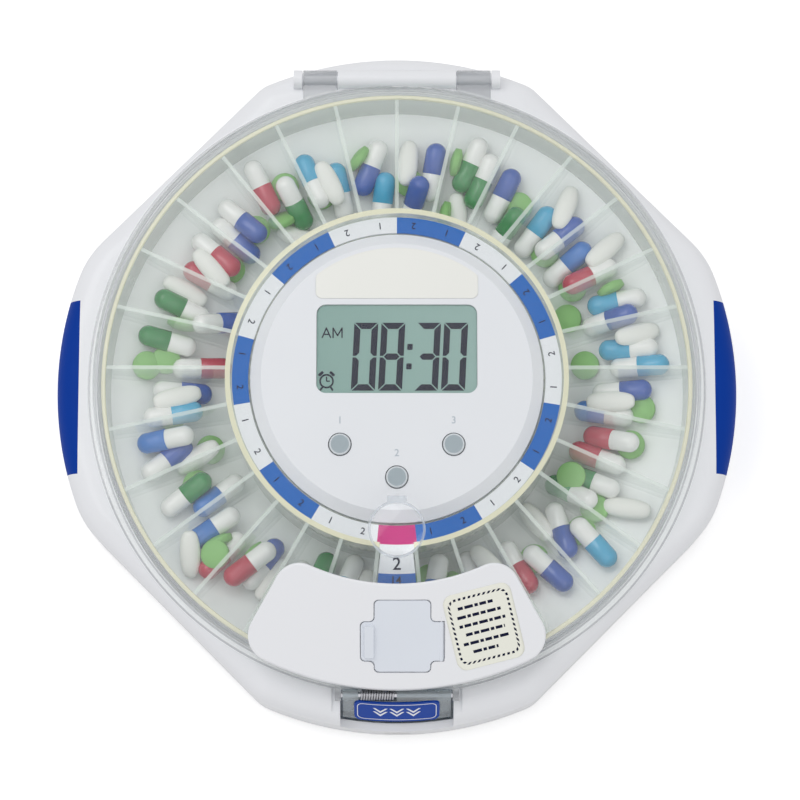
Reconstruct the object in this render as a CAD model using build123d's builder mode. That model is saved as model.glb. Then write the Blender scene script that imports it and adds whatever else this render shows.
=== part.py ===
"""Automatic pill dispenser: a turning tray of pill compartments under a clear hinged lid.

Millimetres. +Z is up, the latch is at the front (-Y) and the lid hinges at the back (+Y).
The origin is on the surface that the feet stand on, under the axis of the tray.
"""

import os
from math import acos, atan, cos, degrees, pi, radians, sin, sqrt, tan

from build123d import *

os.makedirs("parts", exist_ok=True)

# Clearances
RUNNING_GAP = 0.3
FIT_GAP = 0.1
PIN_FIT = 0.05
LID_GAP = 0.8
LID_HEADROOM = 3.0
RIM_HEADROOM = 2.3
OVERCUT = 1.0

# Tray
PLACES = 29
VANE = 1.2
TRAY_RIM_RADIUS = 93.6
TRAY_RIM_WALL = 1.4
TRAY_CORE_RADIUS = 53.8
TRAY_CORE_WALL = 1.6
TRAY_FLOOR = 1.4
TRAY_FLOOR_RISE = 6.0
TRAY_RIM_HEIGHT = 19.0
TRAY_CORE_HEIGHT = 36.5
TRAY_LIFT = 2.6
VANE_DROP = 0.5
SHELF = 1.4
GLIDE_RADIUS = 80.0
GLIDE_WALL = 2.0

# Number ring
RING_DROP = 4.3
RING_THICKNESS = 1.2
RING_EDGE_GAP = 0.4
TAB_END_DROP = 0.6
SHELF_WIDTH = 5.9

# Body
DECK_WIDTH = 10.6
FLAT_DECK = 3.2
SIDE_CORNER = 30.0
END_CORNER = 12.0
BODY_WALL = 2.5
SHOULDER = 7.5
WELL_STEP = 1.1
WELL_DEPTH = 22.0
PAN = 2.0
UNDERFLOOR = 7.5
BOTTOM_COVER = 2.5
FOOT_HEIGHT = 2.0
FOOT_RADIUS = 7.0
FOOT_INSET = 9.6
GRIP_LENGTH = 56.0
GRIP_THICKNESS = 1.0
GRIP_CORNER = 4.0
GRIP_SILL = 6.0

# Hub
HUB_STEP = 0.5
HUB_WALL = 1.8
HUB_TOP_DROP = 0.5
HUB_BEVEL = 3.5
HUB_BEVEL_DROP = 3.0
HUB_CAP = 2.0
SEAM_RISE = 1.5

# Lid
LID_WALL = 2.0
LID_SIDE_WALL = 1.6
LID_FLANGE = 2.3
LID_FLANGE_HEIGHT = 2.0
LID_SHOULDER = 2.0
CROWN_MARGIN = 6.0
CROWN_BEND = 6.0

# Magnifier
LENS_RADIUS = 8.9
LENS_INSET = 3.5
LENS_RISE = 1.5
LENS_LIP = 0.7
LENS_TAB = 6.0

# Outlet cover and flap
COVER_INNER_MARGIN = 1.9
COVER_OUTER_MARGIN = 1.5
COVER_SKIRT = 1.2
COVER_SKIRT_GAP = 4.0
COVER_HALF_ANGLE = 30.5
COVER_CORNER = 8.0
COVER_RISE = 1.7
COVER_LEDGE = 2.2
COVER_FIT = 0.2
COVER_EDGE = 0.6
FLAP_X = 1.75
FLAP_OUTWARD = 2.9
FLAP_WIDTH = 25.7
FLAP_LENGTH_SHARE = 0.5415
FLAP_NECK_WIDTH = 17.2
FLAP_END_MARGIN = 6.1
FLAP_SHIFT_SHARE = 0.0742
FLAP_THICKNESS = 1.1
FLAP_CORNER_SHARE = 0.0655
FLAP_DEPTH = 1.5
FLAP_BARREL = 0.8
FLAP_PIN = 0.4
FLAP_RIDGE = 3.6
FLAP_RIDGE_CORNER = 0.75
FLAP_RIDGE_HEIGHT = 1.2
FLAP_RIDGE_TAPER = 20.0
OUTLET_WIDTH = 14.6
OUTLET_MARGIN = 3.5
CHUTE_WALL = 1.2
CHUTE_DEPTH = 2.3

# Lid hinge
HINGE_OUT = 2.2
HINGE_RISE = 0.5
KNUCKLE_RADIUS = 3.0
TAB_INNER = 19.4
TAB_WIDTH = 10.9
HORN_WIDTH = 2.8
HINGE_PIN = 1.2
PIN_BITE = 5.4
HINGE_BLOCK = 7.0

# Latch
LATCH_HALF_WIDTH = 17.0
LATCH_SIDE_GAP = 0.4
LATCH_OUT = 2.2
LATCH_RISE = 2.4
LATCH_BARREL = 1.8
LATCH_PIN = 0.9
LATCH_EAR = 2.0
LATCH_EAR_MARGIN = 0.2
LATCH_PLATE = 1.8
LATCH_FOOT_PLATE = 1.1
LATCH_BEND_OUT = 7.5
LATCH_BEND_DROP = 12.0
LATCH_DROP = 21.1
LATCH_NOSE = 0.7
LATCH_NOSE_HEIGHT = 2.0
LATCH_SWING_GAP = 0.7
CATCH_DROP = 2.0
CATCH_THICKNESS = 4.0
POCKET_DEPTH = 20.0
BAY_HALF_WIDTH = 20.5
BAY_DEPTH = 1.2
POCKET_WALL = 1.5
SPRING_LEFT = 11.7
SPRING_RIGHT = 0.3
SPRING_WIRE = 0.8
LABEL_HALF_WIDTH = 13.4
LABEL_THICKNESS = 0.5
LABEL_MARGIN = 1.1
LABEL_CORNER = 2.5

# Key lock
LOCK_RADIUS = 4.3
LOCK_HEIGHT = 10.4
LOCK_LENGTH = 9.2
LOCK_SLEEVE = 1.3
LOCK_INSET = 0.4
KEYWAY_WIDTH = 1.2
KEYWAY_HEIGHT = 5.0
KEYWAY_DEPTH = 2.0
CAM_LENGTH = 6.8
CAM_WIDTH = 4.0
CAM_THICKNESS = 1.4

# Drive
GEAR_RIM = 3.195
RING_TEETH = 87
PINION_TEETH = 20
PRESSURE_ANGLE = 20.0
GEAR_WIDTH = 5.0
GEAR_BACKLASH = 0.12
FLANK_STEPS = 2
PINION_ADDENDUM = 0.8
PINION_DEDENDUM = 1.15
RING_ADDENDUM = 0.7
RING_DEDENDUM = 1.05
SHAFT_RADIUS = 2.0
SHAFT_BITE = 2.4
MOTOR_RADIUS = 12.0
MOTOR_HEIGHT = 12.4
MOTOR_OFFSET = 7.85
MOTOR_BOSS = 4.5
MOTOR_EAR_SPAN = 17.5
MOTOR_EAR_RADIUS = 3.5
MOTOR_EAR = 0.9
MOTOR_PLATE = 1.6
PLATE_GAP = 1.0
PLATE_LEDGE = 2.2

# Electronics
BOARD = 1.6
BOARD_SIDE_GAP = 2.2
BOARD_GAP = 1.5
POST_X = 34.0
POST_Y = 18.0
POST_RADIUS = 2.6
SCREEN_Y = 8.9
SCREEN_WIDTH = 50.4
SCREEN_HEIGHT = 28.2
SCREEN_CORNER = 3.0
DISPLAY_FRAME_WIDTH = 56.0
DISPLAY_FRAME_HEIGHT = 34.0
DISPLAY_LENS = 0.6
DISPLAY_SETBACK = 0.2
FASCIA_CHORD_SHARE = 0.777
FASCIA_EDGE = 24.9
FASCIA_MARGIN = 1.3
FASCIA_THICKNESS = 0.6
FASCIA_RISE = 0.2
FASCIA_CORNER = 2.0
BUTTON_RADIUS = 3.35
BUTTON_GAP = 0.35
BUTTON_FLANGE = 4.6
BUTTON_FLANGE_HEIGHT = 1.2
BUTTON_RISE = 0.9
BUTTON_SIDE_X = 17.75
BUTTON_SIDE_Y = -21.4
BUTTON_FRONT_Y = -31.7
BUTTON_STROKE = 0.8
SWITCH_SIDE = 6.0
SWITCH_BODY = 2.6
SWITCH_STEM_RADIUS = 1.7
BUZZER_RADIUS = 8.0
BUZZER_HEIGHT = 7.0
BUZZER_Y = -16.0
HOME_SWITCH_SIZE = (12.8, 5.8, 6.5)
HOME_SWITCH_Y = -35.0
HOME_SWITCH_PLUNGER = 1.0

# Battery
CELLS = 4
CELL_RADIUS = 7.25
CELL_LENGTH = 50.5
CELL_SIDE_GAP = 0.15
CELL_TOP_GAP = 0.5
CELL_END_GAP = 2.25
CONTACT = 0.4
CONTACT_HALF_WIDTH = 4.5
BOX_WALL = 1.5
GEAR_CLEARANCE = 1.5
DOOR_GAP = 0.3
DOOR_LIP = 3.0
DOOR_RIBS = 5
DOOR_RIB = 1.0

# Inlet at the back
JACK_WIDTH = 9.0
JACK_LENGTH = 13.0
JACK_HEIGHT = 7.0
JACK_BORE = 2.8
JACK_PIN = 0.9
JACK_BORE_DEPTH = 9.5
JACK_INSET = 0.6

# Screws
SCREW_RADIUS = 1.5
SCREW_HEAD_RADIUS = 2.8
SCREW_HEAD = 1.5
SCREW_LENGTH = 8.0
SMALL_SCREW_RADIUS = 1.1
SMALL_SCREW_HEAD = 1.2
SMALL_SCREW_LENGTH = 5.0
DRIVE_SLOT = 0.7
PAN_BOSS_RADIUS = 3.0
PAN_BOSS_ANGLE = 18.0
PAN_BOSS_OUT = 2.6
COVER_BOSS_RADIUS = 3.6
COVER_BOSS_X = 78.0
COVER_BOSS_Y = 24.0

# Sizes that follow from the driving dimensions
lid_bore = TRAY_RIM_RADIUS + LID_GAP
lid_side = lid_bore + LID_SIDE_WALL
flange_radius = lid_side + LID_FLANGE
well_radius = lid_bore + WELL_STEP
well_outside = well_radius + BODY_WALL
body_radius = flange_radius + DECK_WIDTH
flat_distance = flange_radius + FLAT_DECK

cover_top_z = FOOT_HEIGHT + BOTTOM_COVER
pan_z = cover_top_z + UNDERFLOOR
pan_top_z = pan_z + PAN
deck_z = pan_top_z + WELL_DEPTH
tray_bottom_z = pan_top_z + TRAY_LIFT
floor_inner_z = tray_bottom_z + TRAY_FLOOR
floor_outer_z = floor_inner_z + TRAY_FLOOR_RISE
rim_z = floor_outer_z + TRAY_RIM_HEIGHT
core_z = floor_inner_z + TRAY_CORE_HEIGHT
core_bore = TRAY_CORE_RADIUS - TRAY_CORE_WALL
rim_bore = TRAY_RIM_RADIUS - TRAY_RIM_WALL
ring_z = core_z - RING_DROP
shelf_z = ring_z - RING_THICKNESS
shelf_bore = core_bore - SHELF_WIDTH
pitch = 360 / PLACES

hub_radius = shelf_bore - RUNNING_GAP
hub_outside = hub_radius - HUB_STEP
hub_bore = hub_outside - HUB_WALL
hub_top_z = core_z - HUB_TOP_DROP
hub_ceiling_z = hub_top_z - HUB_CAP
fascia_radius = hub_radius - HUB_BEVEL - FASCIA_MARGIN
fascia_half_width = sqrt(fascia_radius**2 - FASCIA_EDGE**2) * FASCIA_CHORD_SHARE

cell_z = cover_top_z + CELL_TOP_GAP
box_ceiling_z = cell_z + 2 * CELL_RADIUS + CELL_TOP_GAP
box_half_x = CELLS * (CELL_RADIUS + CELL_SIDE_GAP)
box_half_y = CELL_LENGTH / 2 + CELL_END_GAP
gear_z = box_ceiling_z + BOX_WALL + GEAR_CLEARANCE
plate_z = gear_z + GEAR_WIDTH + PLATE_GAP
plate_top_z = plate_z + MOTOR_PLATE
motor_top_z = plate_top_z + MOTOR_HEIGHT
board_z = motor_top_z + BOARD_GAP
board_top_z = board_z + BOARD
seam_z = board_z + SEAM_RISE
gear_module = (core_bore - GEAR_RIM) / (RING_TEETH / 2 + RING_DEDENDUM)
centre_distance = gear_module * (RING_TEETH - PINION_TEETH) / 2

lid_z = deck_z + RUNNING_GAP
lid_flange_top_z = lid_z + LID_FLANGE_HEIGHT
lens_place = core_bore - LENS_INSET
crown_radius = lens_place + LENS_RADIUS + CROWN_MARGIN
ceiling_z = core_z + LID_HEADROOM
eave_z = rim_z + RIM_HEADROOM
lid_fall = (ceiling_z - eave_z) / (lid_bore - crown_radius)
lid_tilt = degrees(atan(lid_fall))
lid_skin = LID_WALL / cos(radians(lid_tilt))
lid_top_z = ceiling_z + LID_WALL
lens_top_z = lid_top_z + LENS_RISE
cover_inner = crown_radius + COVER_INNER_MARGIN
cover_outer = lid_side + COVER_SKIRT
cover_plug_outer = lid_side - COVER_OUTER_MARGIN
flap_y = -((cover_inner + cover_plug_outer) / 2 + FLAP_OUTWARD)
flap_neck_length = cover_plug_outer - cover_inner - FLAP_END_MARGIN
flap_neck_shift = flap_neck_length * FLAP_SHIFT_SHARE
flap_length = flap_neck_length * FLAP_LENGTH_SHARE
flap_corner = flap_neck_length * FLAP_CORNER_SHARE
outlet_length = flap_neck_length - OUTLET_MARGIN

hinge_y = flange_radius + HINGE_OUT
hinge_z = deck_z + HINGE_RISE
tab_outer = TAB_INNER + TAB_WIDTH
horn_inner = tab_outer + RUNNING_GAP
horn_outer = horn_inner + HORN_WIDTH

latch_y = -(lid_side + LATCH_OUT)
latch_z = deck_z + LATCH_RISE
ear_inner = LATCH_HALF_WIDTH + LATCH_SIDE_GAP
pocket_half_width = LATCH_HALF_WIDTH + 2 * LATCH_SIDE_GAP
latch_bend_radius = -latch_y + LATCH_BEND_OUT
latch_bend_z = latch_z - LATCH_BEND_DROP
latch_foot_z = latch_z - LATCH_DROP
catch_radius = latch_bend_radius + LATCH_SWING_GAP
catch_top_z = latch_bend_z - CATCH_DROP
pocket_floor_z = deck_z - POCKET_DEPTH


def block(xs, ys, zs, mode=Mode.ADD):
    """The box between three pairs of limits."""
    with Locations((sum(xs) / 2, sum(ys) / 2, sum(zs) / 2)):
        Box(xs[1] - xs[0], ys[1] - ys[0], zs[1] - zs[0], mode=mode)


def turned(points, mode=Mode.ADD, bends=()):
    """A closed outline of (radius, height) points, some corners bent, turned about the axis of the tray."""
    with BuildSketch(Plane.XZ) as section:
        with BuildLine():
            Polyline(*points, close=True)
        make_face()
        for corner, radius in bends:
            fillet(section.vertices().sort_by_distance((*corner, 0))[0], radius)
    revolve(section.sketch, axis=Axis.Z, mode=mode)


def tube(outer, inner, bottom, top, mode=Mode.ADD):
    """A ring or disc about the axis of the tray, between two heights."""
    with BuildSketch(Plane.XY.offset(bottom)) as section:
        Circle(outer)
        if inner > 0:
            Circle(inner, mode=Mode.SUBTRACT)
    extrude(section.sketch, amount=top - bottom, mode=mode)


def post(places, radius, bottom, top, mode=Mode.ADD):
    """An upright round post or hole at each (x, y) place."""
    with BuildSketch(Plane.XY.offset(bottom)) as section:
        with Locations(*places):
            Circle(radius)
    extrude(section.sketch, amount=top - bottom, mode=mode)


def rod(x_from, x_to, y, z, radius, mode=Mode.ADD):
    """A round bar that lies along X."""
    with BuildSketch(Plane.YZ.offset(x_from)) as section:
        with Locations((y, z)):
            Circle(radius)
    extrude(section.sketch, amount=x_to - x_from, mode=mode)


def screw(places, head_z, radius, head_radius, head, length, up=1):
    """Screws with slotted heads; up is the way that the shank points from the underside of the head."""
    low, high = sorted((head_z, head_z + up * length))
    post(places, radius, low, high)
    low, high = sorted((head_z, head_z - up * head))
    post(places, head_radius, low, high)
    face_z = head_z - up * head
    for x, y in places:
        block((x - head_radius, x + head_radius), (y - DRIVE_SLOT / 2, y + DRIVE_SLOT / 2),
              (face_z - DRIVE_SLOT, face_z + DRIVE_SLOT), mode=Mode.SUBTRACT)


def around(radius, angles):
    """Places at one radius, at each angle from +X."""
    return [(radius * cos(radians(a)), radius * sin(radians(a))) for a in angles]


def body_plan(inset):
    """The plan of the body: a circle with four diagonal flats and rounded corners, pulled in by inset."""
    with BuildSketch() as plan:
        Circle(body_radius - inset)
        side = 2 * (flat_distance - inset)
        Rectangle(side, side, rotation=45, mode=Mode.INTERSECT)
        fillet([v for v in plan.vertices() if abs(v.X) > abs(v.Y)], SIDE_CORNER - inset)
        ends = plan.vertices().sort_by(lambda v: -abs(v.Y))[:4]
        fillet(ends, END_CORNER - inset)
    return plan.sketch


def body_form(inset, bottom, top):
    """The solid form of the body with its rounded shoulder, pulled in by inset."""
    with BuildPart() as form:
        with BuildSketch(Plane.XY.offset(bottom)):
            add(body_plan(inset))
        extrude(amount=top - bottom)
        fillet(form.faces().sort_by(Axis.Z)[-1].outer_wire().edges(), SHOULDER - inset)
    return form.part


outer_form = body_form(0, FOOT_HEIGHT, deck_z)
inner_form = body_form(BODY_WALL, FOOT_HEIGHT, deck_z - BODY_WALL)
grip_core = body_form(GRIP_THICKNESS, FOOT_HEIGHT, deck_z - GRIP_THICKNESS)

pan_boss_angles = [half_turn + side * PAN_BOSS_ANGLE for half_turn in (0, 180) for side in (-1, 1)]
pan_bosses = around(well_outside + PAN_BOSS_OUT, pan_boss_angles)
cover_bosses = [(sx * COVER_BOSS_X, sy * COVER_BOSS_Y) for sx in (-1, 1) for sy in (-1, 1)]
foot_place = (flat_distance - FOOT_INSET) * cos(pi / 4)
feet_places = [(sx * foot_place, sy * foot_place) for sx in (-1, 1) for sy in (-1, 1)]
board_posts = [(sx * POST_X, sy * POST_Y) for sx in (-1, 1) for sy in (-1, 1)]


def grip_region(side):
    """The space of one side grip: the outermost skin of the body over the length of the grip."""
    edge = body_radius - SHOULDER
    with BuildPart() as region:
        with BuildSketch(Plane.YZ.offset(side * edge)):
            with Locations((0, (FOOT_HEIGHT + GRIP_SILL + deck_z + GRIP_CORNER) / 2)):
                RectangleRounded(GRIP_LENGTH, deck_z + GRIP_CORNER - FOOT_HEIGHT - GRIP_SILL, GRIP_CORNER)
        extrude(amount=side * 2 * SHOULDER)
        add(outer_form, mode=Mode.INTERSECT)
        add(grip_core, mode=Mode.SUBTRACT)
    return region.part


grips = {"grip_strip_left": grip_region(-1), "grip_strip_right": grip_region(1)}

# Body shell: outer skin, deck, well wall, latch pocket and hinge lugs
with BuildPart() as base_shell:
    add(outer_form)
    add(inner_form, mode=Mode.SUBTRACT)
    tube(well_outside, 0, pan_top_z, deck_z)
    # screw bosses for the pan, from the pan up into the deck
    post(pan_bosses, PAN_BOSS_RADIUS, pan_top_z, deck_z - BODY_WALL / 2)
    # thick block under the hinge
    with BuildSketch(Plane.XY.offset(deck_z - HINGE_BLOCK)):
        Circle(body_radius - BODY_WALL)
        with Locations((0, body_radius)):
            Rectangle(2 * horn_outer, 2 * (body_radius - well_radius), mode=Mode.INTERSECT)
    extrude(amount=HINGE_BLOCK - BODY_WALL)
    # closed walls of the latch pocket
    pocket_outer_width = 2 * (pocket_half_width + POCKET_WALL)
    with BuildSketch(Plane.XY.offset(pocket_floor_z - POCKET_WALL)):
        Circle(body_radius - BODY_WALL)
        with Locations((0, -body_radius)):
            Rectangle(pocket_outer_width, 2 * (body_radius - well_radius), mode=Mode.INTERSECT)
    extrude(amount=deck_z - BODY_WALL - pocket_floor_z + POCKET_WALL)
    # sleeve of the key lock
    with BuildSketch(Plane.XZ.offset(body_radius - BODY_WALL - LOCK_LENGTH / 2)):
        with Locations((0, LOCK_HEIGHT)):
            Circle(LOCK_RADIUS + FIT_GAP + LOCK_SLEEVE)
    extrude(amount=LOCK_LENGTH / 2)
    # hinge lugs: one between the tabs and a horn outside each tab
    rod(-TAB_INNER + RUNNING_GAP, TAB_INNER - RUNNING_GAP, hinge_y, hinge_z, KNUCKLE_RADIUS)
    for side in (-1, 1):
        low, high = sorted((side * horn_inner, side * horn_outer))
        rod(low, high, hinge_y, hinge_z, KNUCKLE_RADIUS)
    # the well
    tube(well_radius, 0, pan_top_z, deck_z + RUNNING_GAP, mode=Mode.SUBTRACT)
    # pockets for the tabs' knuckles, and the pins' holes
    for side in (-1, 1):
        low, high = sorted((side * (TAB_INNER - RUNNING_GAP), side * horn_inner))
        rod(low, high, hinge_y, hinge_z, KNUCKLE_RADIUS + 2 * RUNNING_GAP, mode=Mode.SUBTRACT)
        low, high = sorted((side * (TAB_INNER - PIN_BITE), side * horn_outer))
        rod(low, high, hinge_y, hinge_z, HINGE_PIN, mode=Mode.SUBTRACT)
    # sunk front of the deck, between the two pads beside the latch
    with BuildSketch(Plane.XY.offset(deck_z - BAY_DEPTH)):
        Circle(body_radius + BODY_WALL)
        Circle(well_radius - OVERCUT, mode=Mode.SUBTRACT)
        with Locations((0, -body_radius)):
            Rectangle(2 * BAY_HALF_WIDTH, body_radius, mode=Mode.INTERSECT)
    extrude(amount=deck_z, mode=Mode.SUBTRACT)
    # latch pocket: open to the top and front above the catch, closed by the catch below
    with BuildSketch(Plane.XY.offset(pocket_floor_z)):
        Circle(catch_radius)
        Circle(well_outside, mode=Mode.SUBTRACT)
        with Locations((0, -body_radius)):
            Rectangle(2 * pocket_half_width, body_radius, mode=Mode.INTERSECT)
    extrude(amount=deck_z, mode=Mode.SUBTRACT)
    with BuildSketch(Plane.XY.offset(catch_top_z)):
        Circle(body_radius + BODY_WALL)
        Circle(well_outside, mode=Mode.SUBTRACT)
        with Locations((0, -body_radius)):
            Rectangle(2 * pocket_half_width, body_radius, mode=Mode.INTERSECT)
    extrude(amount=deck_z, mode=Mode.SUBTRACT)
    # groove under the catch for the nose of the latch
    with BuildSketch(Plane.XY.offset(pocket_floor_z + RUNNING_GAP)):
        Circle(catch_radius + LATCH_NOSE)
        Circle(well_outside, mode=Mode.SUBTRACT)
        with Locations((0, -body_radius)):
            Rectangle(2 * pocket_half_width, body_radius, mode=Mode.INTERSECT)
    extrude(amount=catch_top_z - CATCH_THICKNESS - pocket_floor_z, mode=Mode.SUBTRACT)
    # hole of the key lock, and the slot that its cam swings in
    with BuildSketch(Plane.XZ.offset(well_outside)):
        with Locations((0, LOCK_HEIGHT)):
            Circle(LOCK_RADIUS + FIT_GAP)
    extrude(amount=body_radius, mode=Mode.SUBTRACT)
    cam_back = -(well_outside + FIT_GAP)
    block((-CAM_LENGTH - RUNNING_GAP, CAM_LENGTH + RUNNING_GAP),
          (cam_back - CAM_THICKNESS - 2 * RUNNING_GAP, cam_back + FIT_GAP),
          (pocket_floor_z - 2 * POCKET_WALL, pocket_floor_z + POCKET_WALL), mode=Mode.SUBTRACT)
    # hole for the inlet
    with BuildSketch(Plane.XZ.offset(-body_radius)):
        with Locations((0, cover_top_z + JACK_HEIGHT / 2 + RUNNING_GAP)):
            Circle(JACK_BORE + RUNNING_GAP)
    extrude(amount=2 * BODY_WALL, mode=Mode.SUBTRACT)
    # screw holes in the pan's bosses
    post(pan_bosses, SCREW_RADIUS, pan_top_z, pan_top_z + SCREW_LENGTH, mode=Mode.SUBTRACT)
    for region in grips.values():
        add(region, mode=Mode.SUBTRACT)
base_shell.part.label = "base_shell"
export_step(base_shell.part, "parts/base_shell.step")

# Soft side grips, let into the skin
for name, region in grips.items():
    with BuildPart() as grip:
        add(region)
    grip.part.label = name
    export_step(grip.part, f"parts/{name}.step")

# Inner floor with the battery box
with BuildPart() as well_pan:
    with BuildSketch(Plane.XY.offset(pan_z)):
        Circle(well_outside)
        with Locations(*pan_bosses):
            Circle(PAN_BOSS_RADIUS)
    extrude(amount=PAN)
    block((-box_half_x - BOX_WALL, box_half_x + BOX_WALL), (-box_half_y - BOX_WALL, box_half_y + BOX_WALL),
          (cover_top_z, box_ceiling_z + BOX_WALL))
    block((-box_half_x, box_half_x), (-box_half_y, box_half_y), (cover_top_z, box_ceiling_z),
          mode=Mode.SUBTRACT)
    post(cover_bosses, COVER_BOSS_RADIUS, cover_top_z, pan_top_z)
    post(cover_bosses, SCREW_RADIUS, cover_top_z, pan_z, mode=Mode.SUBTRACT)
    post(pan_bosses, SCREW_RADIUS, pan_z, pan_top_z, mode=Mode.SUBTRACT)
well_pan.part.label = "well_pan"
export_step(well_pan.part, "parts/well_pan.step")

# Ring that the tray glides on
glide_top_z = tray_bottom_z + TRAY_FLOOR_RISE * (GLIDE_RADIUS - GLIDE_WALL / 2 - TRAY_CORE_RADIUS) / (
    rim_bore - TRAY_CORE_RADIUS) - RUNNING_GAP
with BuildPart() as glide_ring:
    tube(GLIDE_RADIUS + GLIDE_WALL / 2, GLIDE_RADIUS - GLIDE_WALL / 2, pan_top_z, glide_top_z)
glide_ring.part.label = "glide_ring"
export_step(glide_ring.part, "parts/glide_ring.step")

# Bottom cover, with the battery opening, a rebate for its door, and sunk screw heads
door_half_x = box_half_x
door_half_y = box_half_y + DOOR_LIP
cover_screw_head_z = cover_top_z - (BOTTOM_COVER - SCREW_HEAD) + FIT_GAP
with BuildPart() as bottom_cover:
    with BuildSketch(Plane.XY.offset(FOOT_HEIGHT)):
        add(body_plan(BODY_WALL + FIT_GAP))
    extrude(amount=BOTTOM_COVER)
    block((-box_half_x, box_half_x), (-box_half_y, box_half_y), (FOOT_HEIGHT, cover_top_z),
          mode=Mode.SUBTRACT)
    rebate_x = door_half_x + DOOR_GAP
    rebate_y = door_half_y + DOOR_GAP
    block((-rebate_x, rebate_x), (-rebate_y, rebate_y), (FOOT_HEIGHT, FOOT_HEIGHT + BOTTOM_COVER / 2),
          mode=Mode.SUBTRACT)
    post(cover_bosses, SCREW_HEAD_RADIUS + RUNNING_GAP, FOOT_HEIGHT, cover_screw_head_z, mode=Mode.SUBTRACT)
    post(cover_bosses, SCREW_RADIUS + FIT_GAP, FOOT_HEIGHT, cover_top_z, mode=Mode.SUBTRACT)
    door_screw_y = -(box_half_y + DOOR_LIP / 2)
    post([(0, door_screw_y)], SMALL_SCREW_RADIUS, FOOT_HEIGHT, cover_top_z, mode=Mode.SUBTRACT)
bottom_cover.part.label = "bottom_cover"
export_step(bottom_cover.part, "parts/bottom_cover.step")

# Battery door
door_bottom_z = FOOT_HEIGHT
door_top_z = FOOT_HEIGHT + BOTTOM_COVER / 2
with BuildPart() as battery_door:
    with BuildSketch(Plane.XY.offset(door_bottom_z)):
        RectangleRounded(2 * door_half_x, 2 * door_half_y, DOOR_LIP)
    extrude(amount=door_top_z - door_bottom_z - FIT_GAP)
    post([(0, door_screw_y)], SMALL_SCREW_RADIUS, door_bottom_z, door_top_z, mode=Mode.SUBTRACT)
    for rib in range(DOOR_RIBS):
        y = box_half_y / 2 + (rib - DOOR_RIBS // 2) * DOOR_LIP
        block((-box_half_x / 3, box_half_x / 3), (y - DOOR_RIB / 2, y + DOOR_RIB / 2),
              (door_bottom_z - FIT_GAP, door_bottom_z + RUNNING_GAP), mode=Mode.SUBTRACT)
battery_door.part.label = "battery_door"
export_step(battery_door.part, "parts/battery_door.step")

# Tray: floor, rim wall, core wall with the shelf for the number ring, and the vanes between the places
floor_points = [
    (TRAY_CORE_RADIUS, tray_bottom_z), (rim_bore, tray_bottom_z + TRAY_FLOOR_RISE),
    (rim_bore, floor_outer_z), (TRAY_CORE_RADIUS, floor_inner_z)]
with BuildPart() as tray_floor:
    turned(floor_points)
tray_floor.part.label = "tray_floor"
export_step(tray_floor.part, "parts/tray_floor.step")

with BuildPart() as tray_outer_wall:
    tube(TRAY_RIM_RADIUS, rim_bore, tray_bottom_z + TRAY_FLOOR_RISE, rim_z)
    fillet(tray_outer_wall.faces().sort_by(Axis.Z)[-1].edges(), TRAY_RIM_WALL / 3)
tray_outer_wall.part.label = "tray_outer_wall"
export_step(tray_outer_wall.part, "parts/tray_outer_wall.step")

home = -90
half_pitch = radians(pitch / 2)


def home_wedge(gap, inner, outer):
    """Plan of the space between the two vanes of the home place, with a gap to each vane."""
    corners = []
    for radius, side in ((inner, -1), (outer, -1), (outer, 1), (inner, 1)):
        half = radius * tan(half_pitch) - (VANE / 2 + gap) / cos(half_pitch)
        corners.append((side * half, -radius))
    with BuildSketch() as wedge:
        with BuildLine():
            Polyline(*corners, close=True)
        make_face()
    return wedge.sketch


with BuildPart() as tray_inner_wall:
    turned([
        (core_bore, tray_bottom_z), (TRAY_CORE_RADIUS, tray_bottom_z), (TRAY_CORE_RADIUS, core_z),
        (core_bore, core_z), (core_bore, shelf_z), (shelf_bore, shelf_z),
        (shelf_bore, shelf_z - SHELF), (core_bore, shelf_z - SHELF)])
    # notch that the ring's tab passes through
    with BuildSketch(Plane.XY.offset(shelf_z - FIT_GAP)):
        add(home_wedge(FIT_GAP, core_bore - OVERCUT, TRAY_CORE_RADIUS + OVERCUT))
    extrude(amount=core_z, mode=Mode.SUBTRACT)
tray_inner_wall.part.label = "tray_inner_wall"
export_step(tray_inner_wall.part, "parts/tray_inner_wall.step")

with BuildPart() as vane_space:
    turned([
        (TRAY_CORE_RADIUS, floor_inner_z), (rim_bore, floor_outer_z),
        (rim_bore, rim_z - VANE_DROP), (TRAY_CORE_RADIUS, core_z - VANE_DROP)])
with BuildPart() as tray_dividers:
    with BuildSketch():
        with PolarLocations((TRAY_CORE_RADIUS + rim_bore) / 2, PLACES, start_angle=home + pitch / 2):
            Rectangle(rim_bore - TRAY_CORE_RADIUS + 2 * VANE, VANE)
    extrude(amount=core_z)
    add(vane_space.part, mode=Mode.INTERSECT)
tray_dividers.part.label = "tray_dividers"
export_step(tray_dividers.part, "parts/tray_dividers.step")

# Number ring with the tab that covers the home place
ring_outer = core_bore - RING_EDGE_GAP
ring_inner = shelf_bore + RING_EDGE_GAP
tab_outer_radius = rim_bore - RUNNING_GAP
tab_end_z = rim_z - VANE_DROP - TAB_END_DROP
with BuildPart() as tab_band:
    turned([
        (ring_outer - OVERCUT, shelf_z), (TRAY_CORE_RADIUS + FIT_GAP, shelf_z),
        (tab_outer_radius, tab_end_z - RING_THICKNESS), (tab_outer_radius, tab_end_z),
        (TRAY_CORE_RADIUS + FIT_GAP, ring_z), (ring_outer - OVERCUT, ring_z)])
with BuildPart() as dosage_ring:
    with BuildSketch():
        add(home_wedge(RUNNING_GAP, ring_outer - OVERCUT, TRAY_RIM_RADIUS))
    extrude(amount=core_z)
    add(tab_band.part, mode=Mode.INTERSECT)
    tube(ring_outer, ring_inner, shelf_z, ring_z)
dosage_ring.part.label = "dosage_ring"
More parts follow.
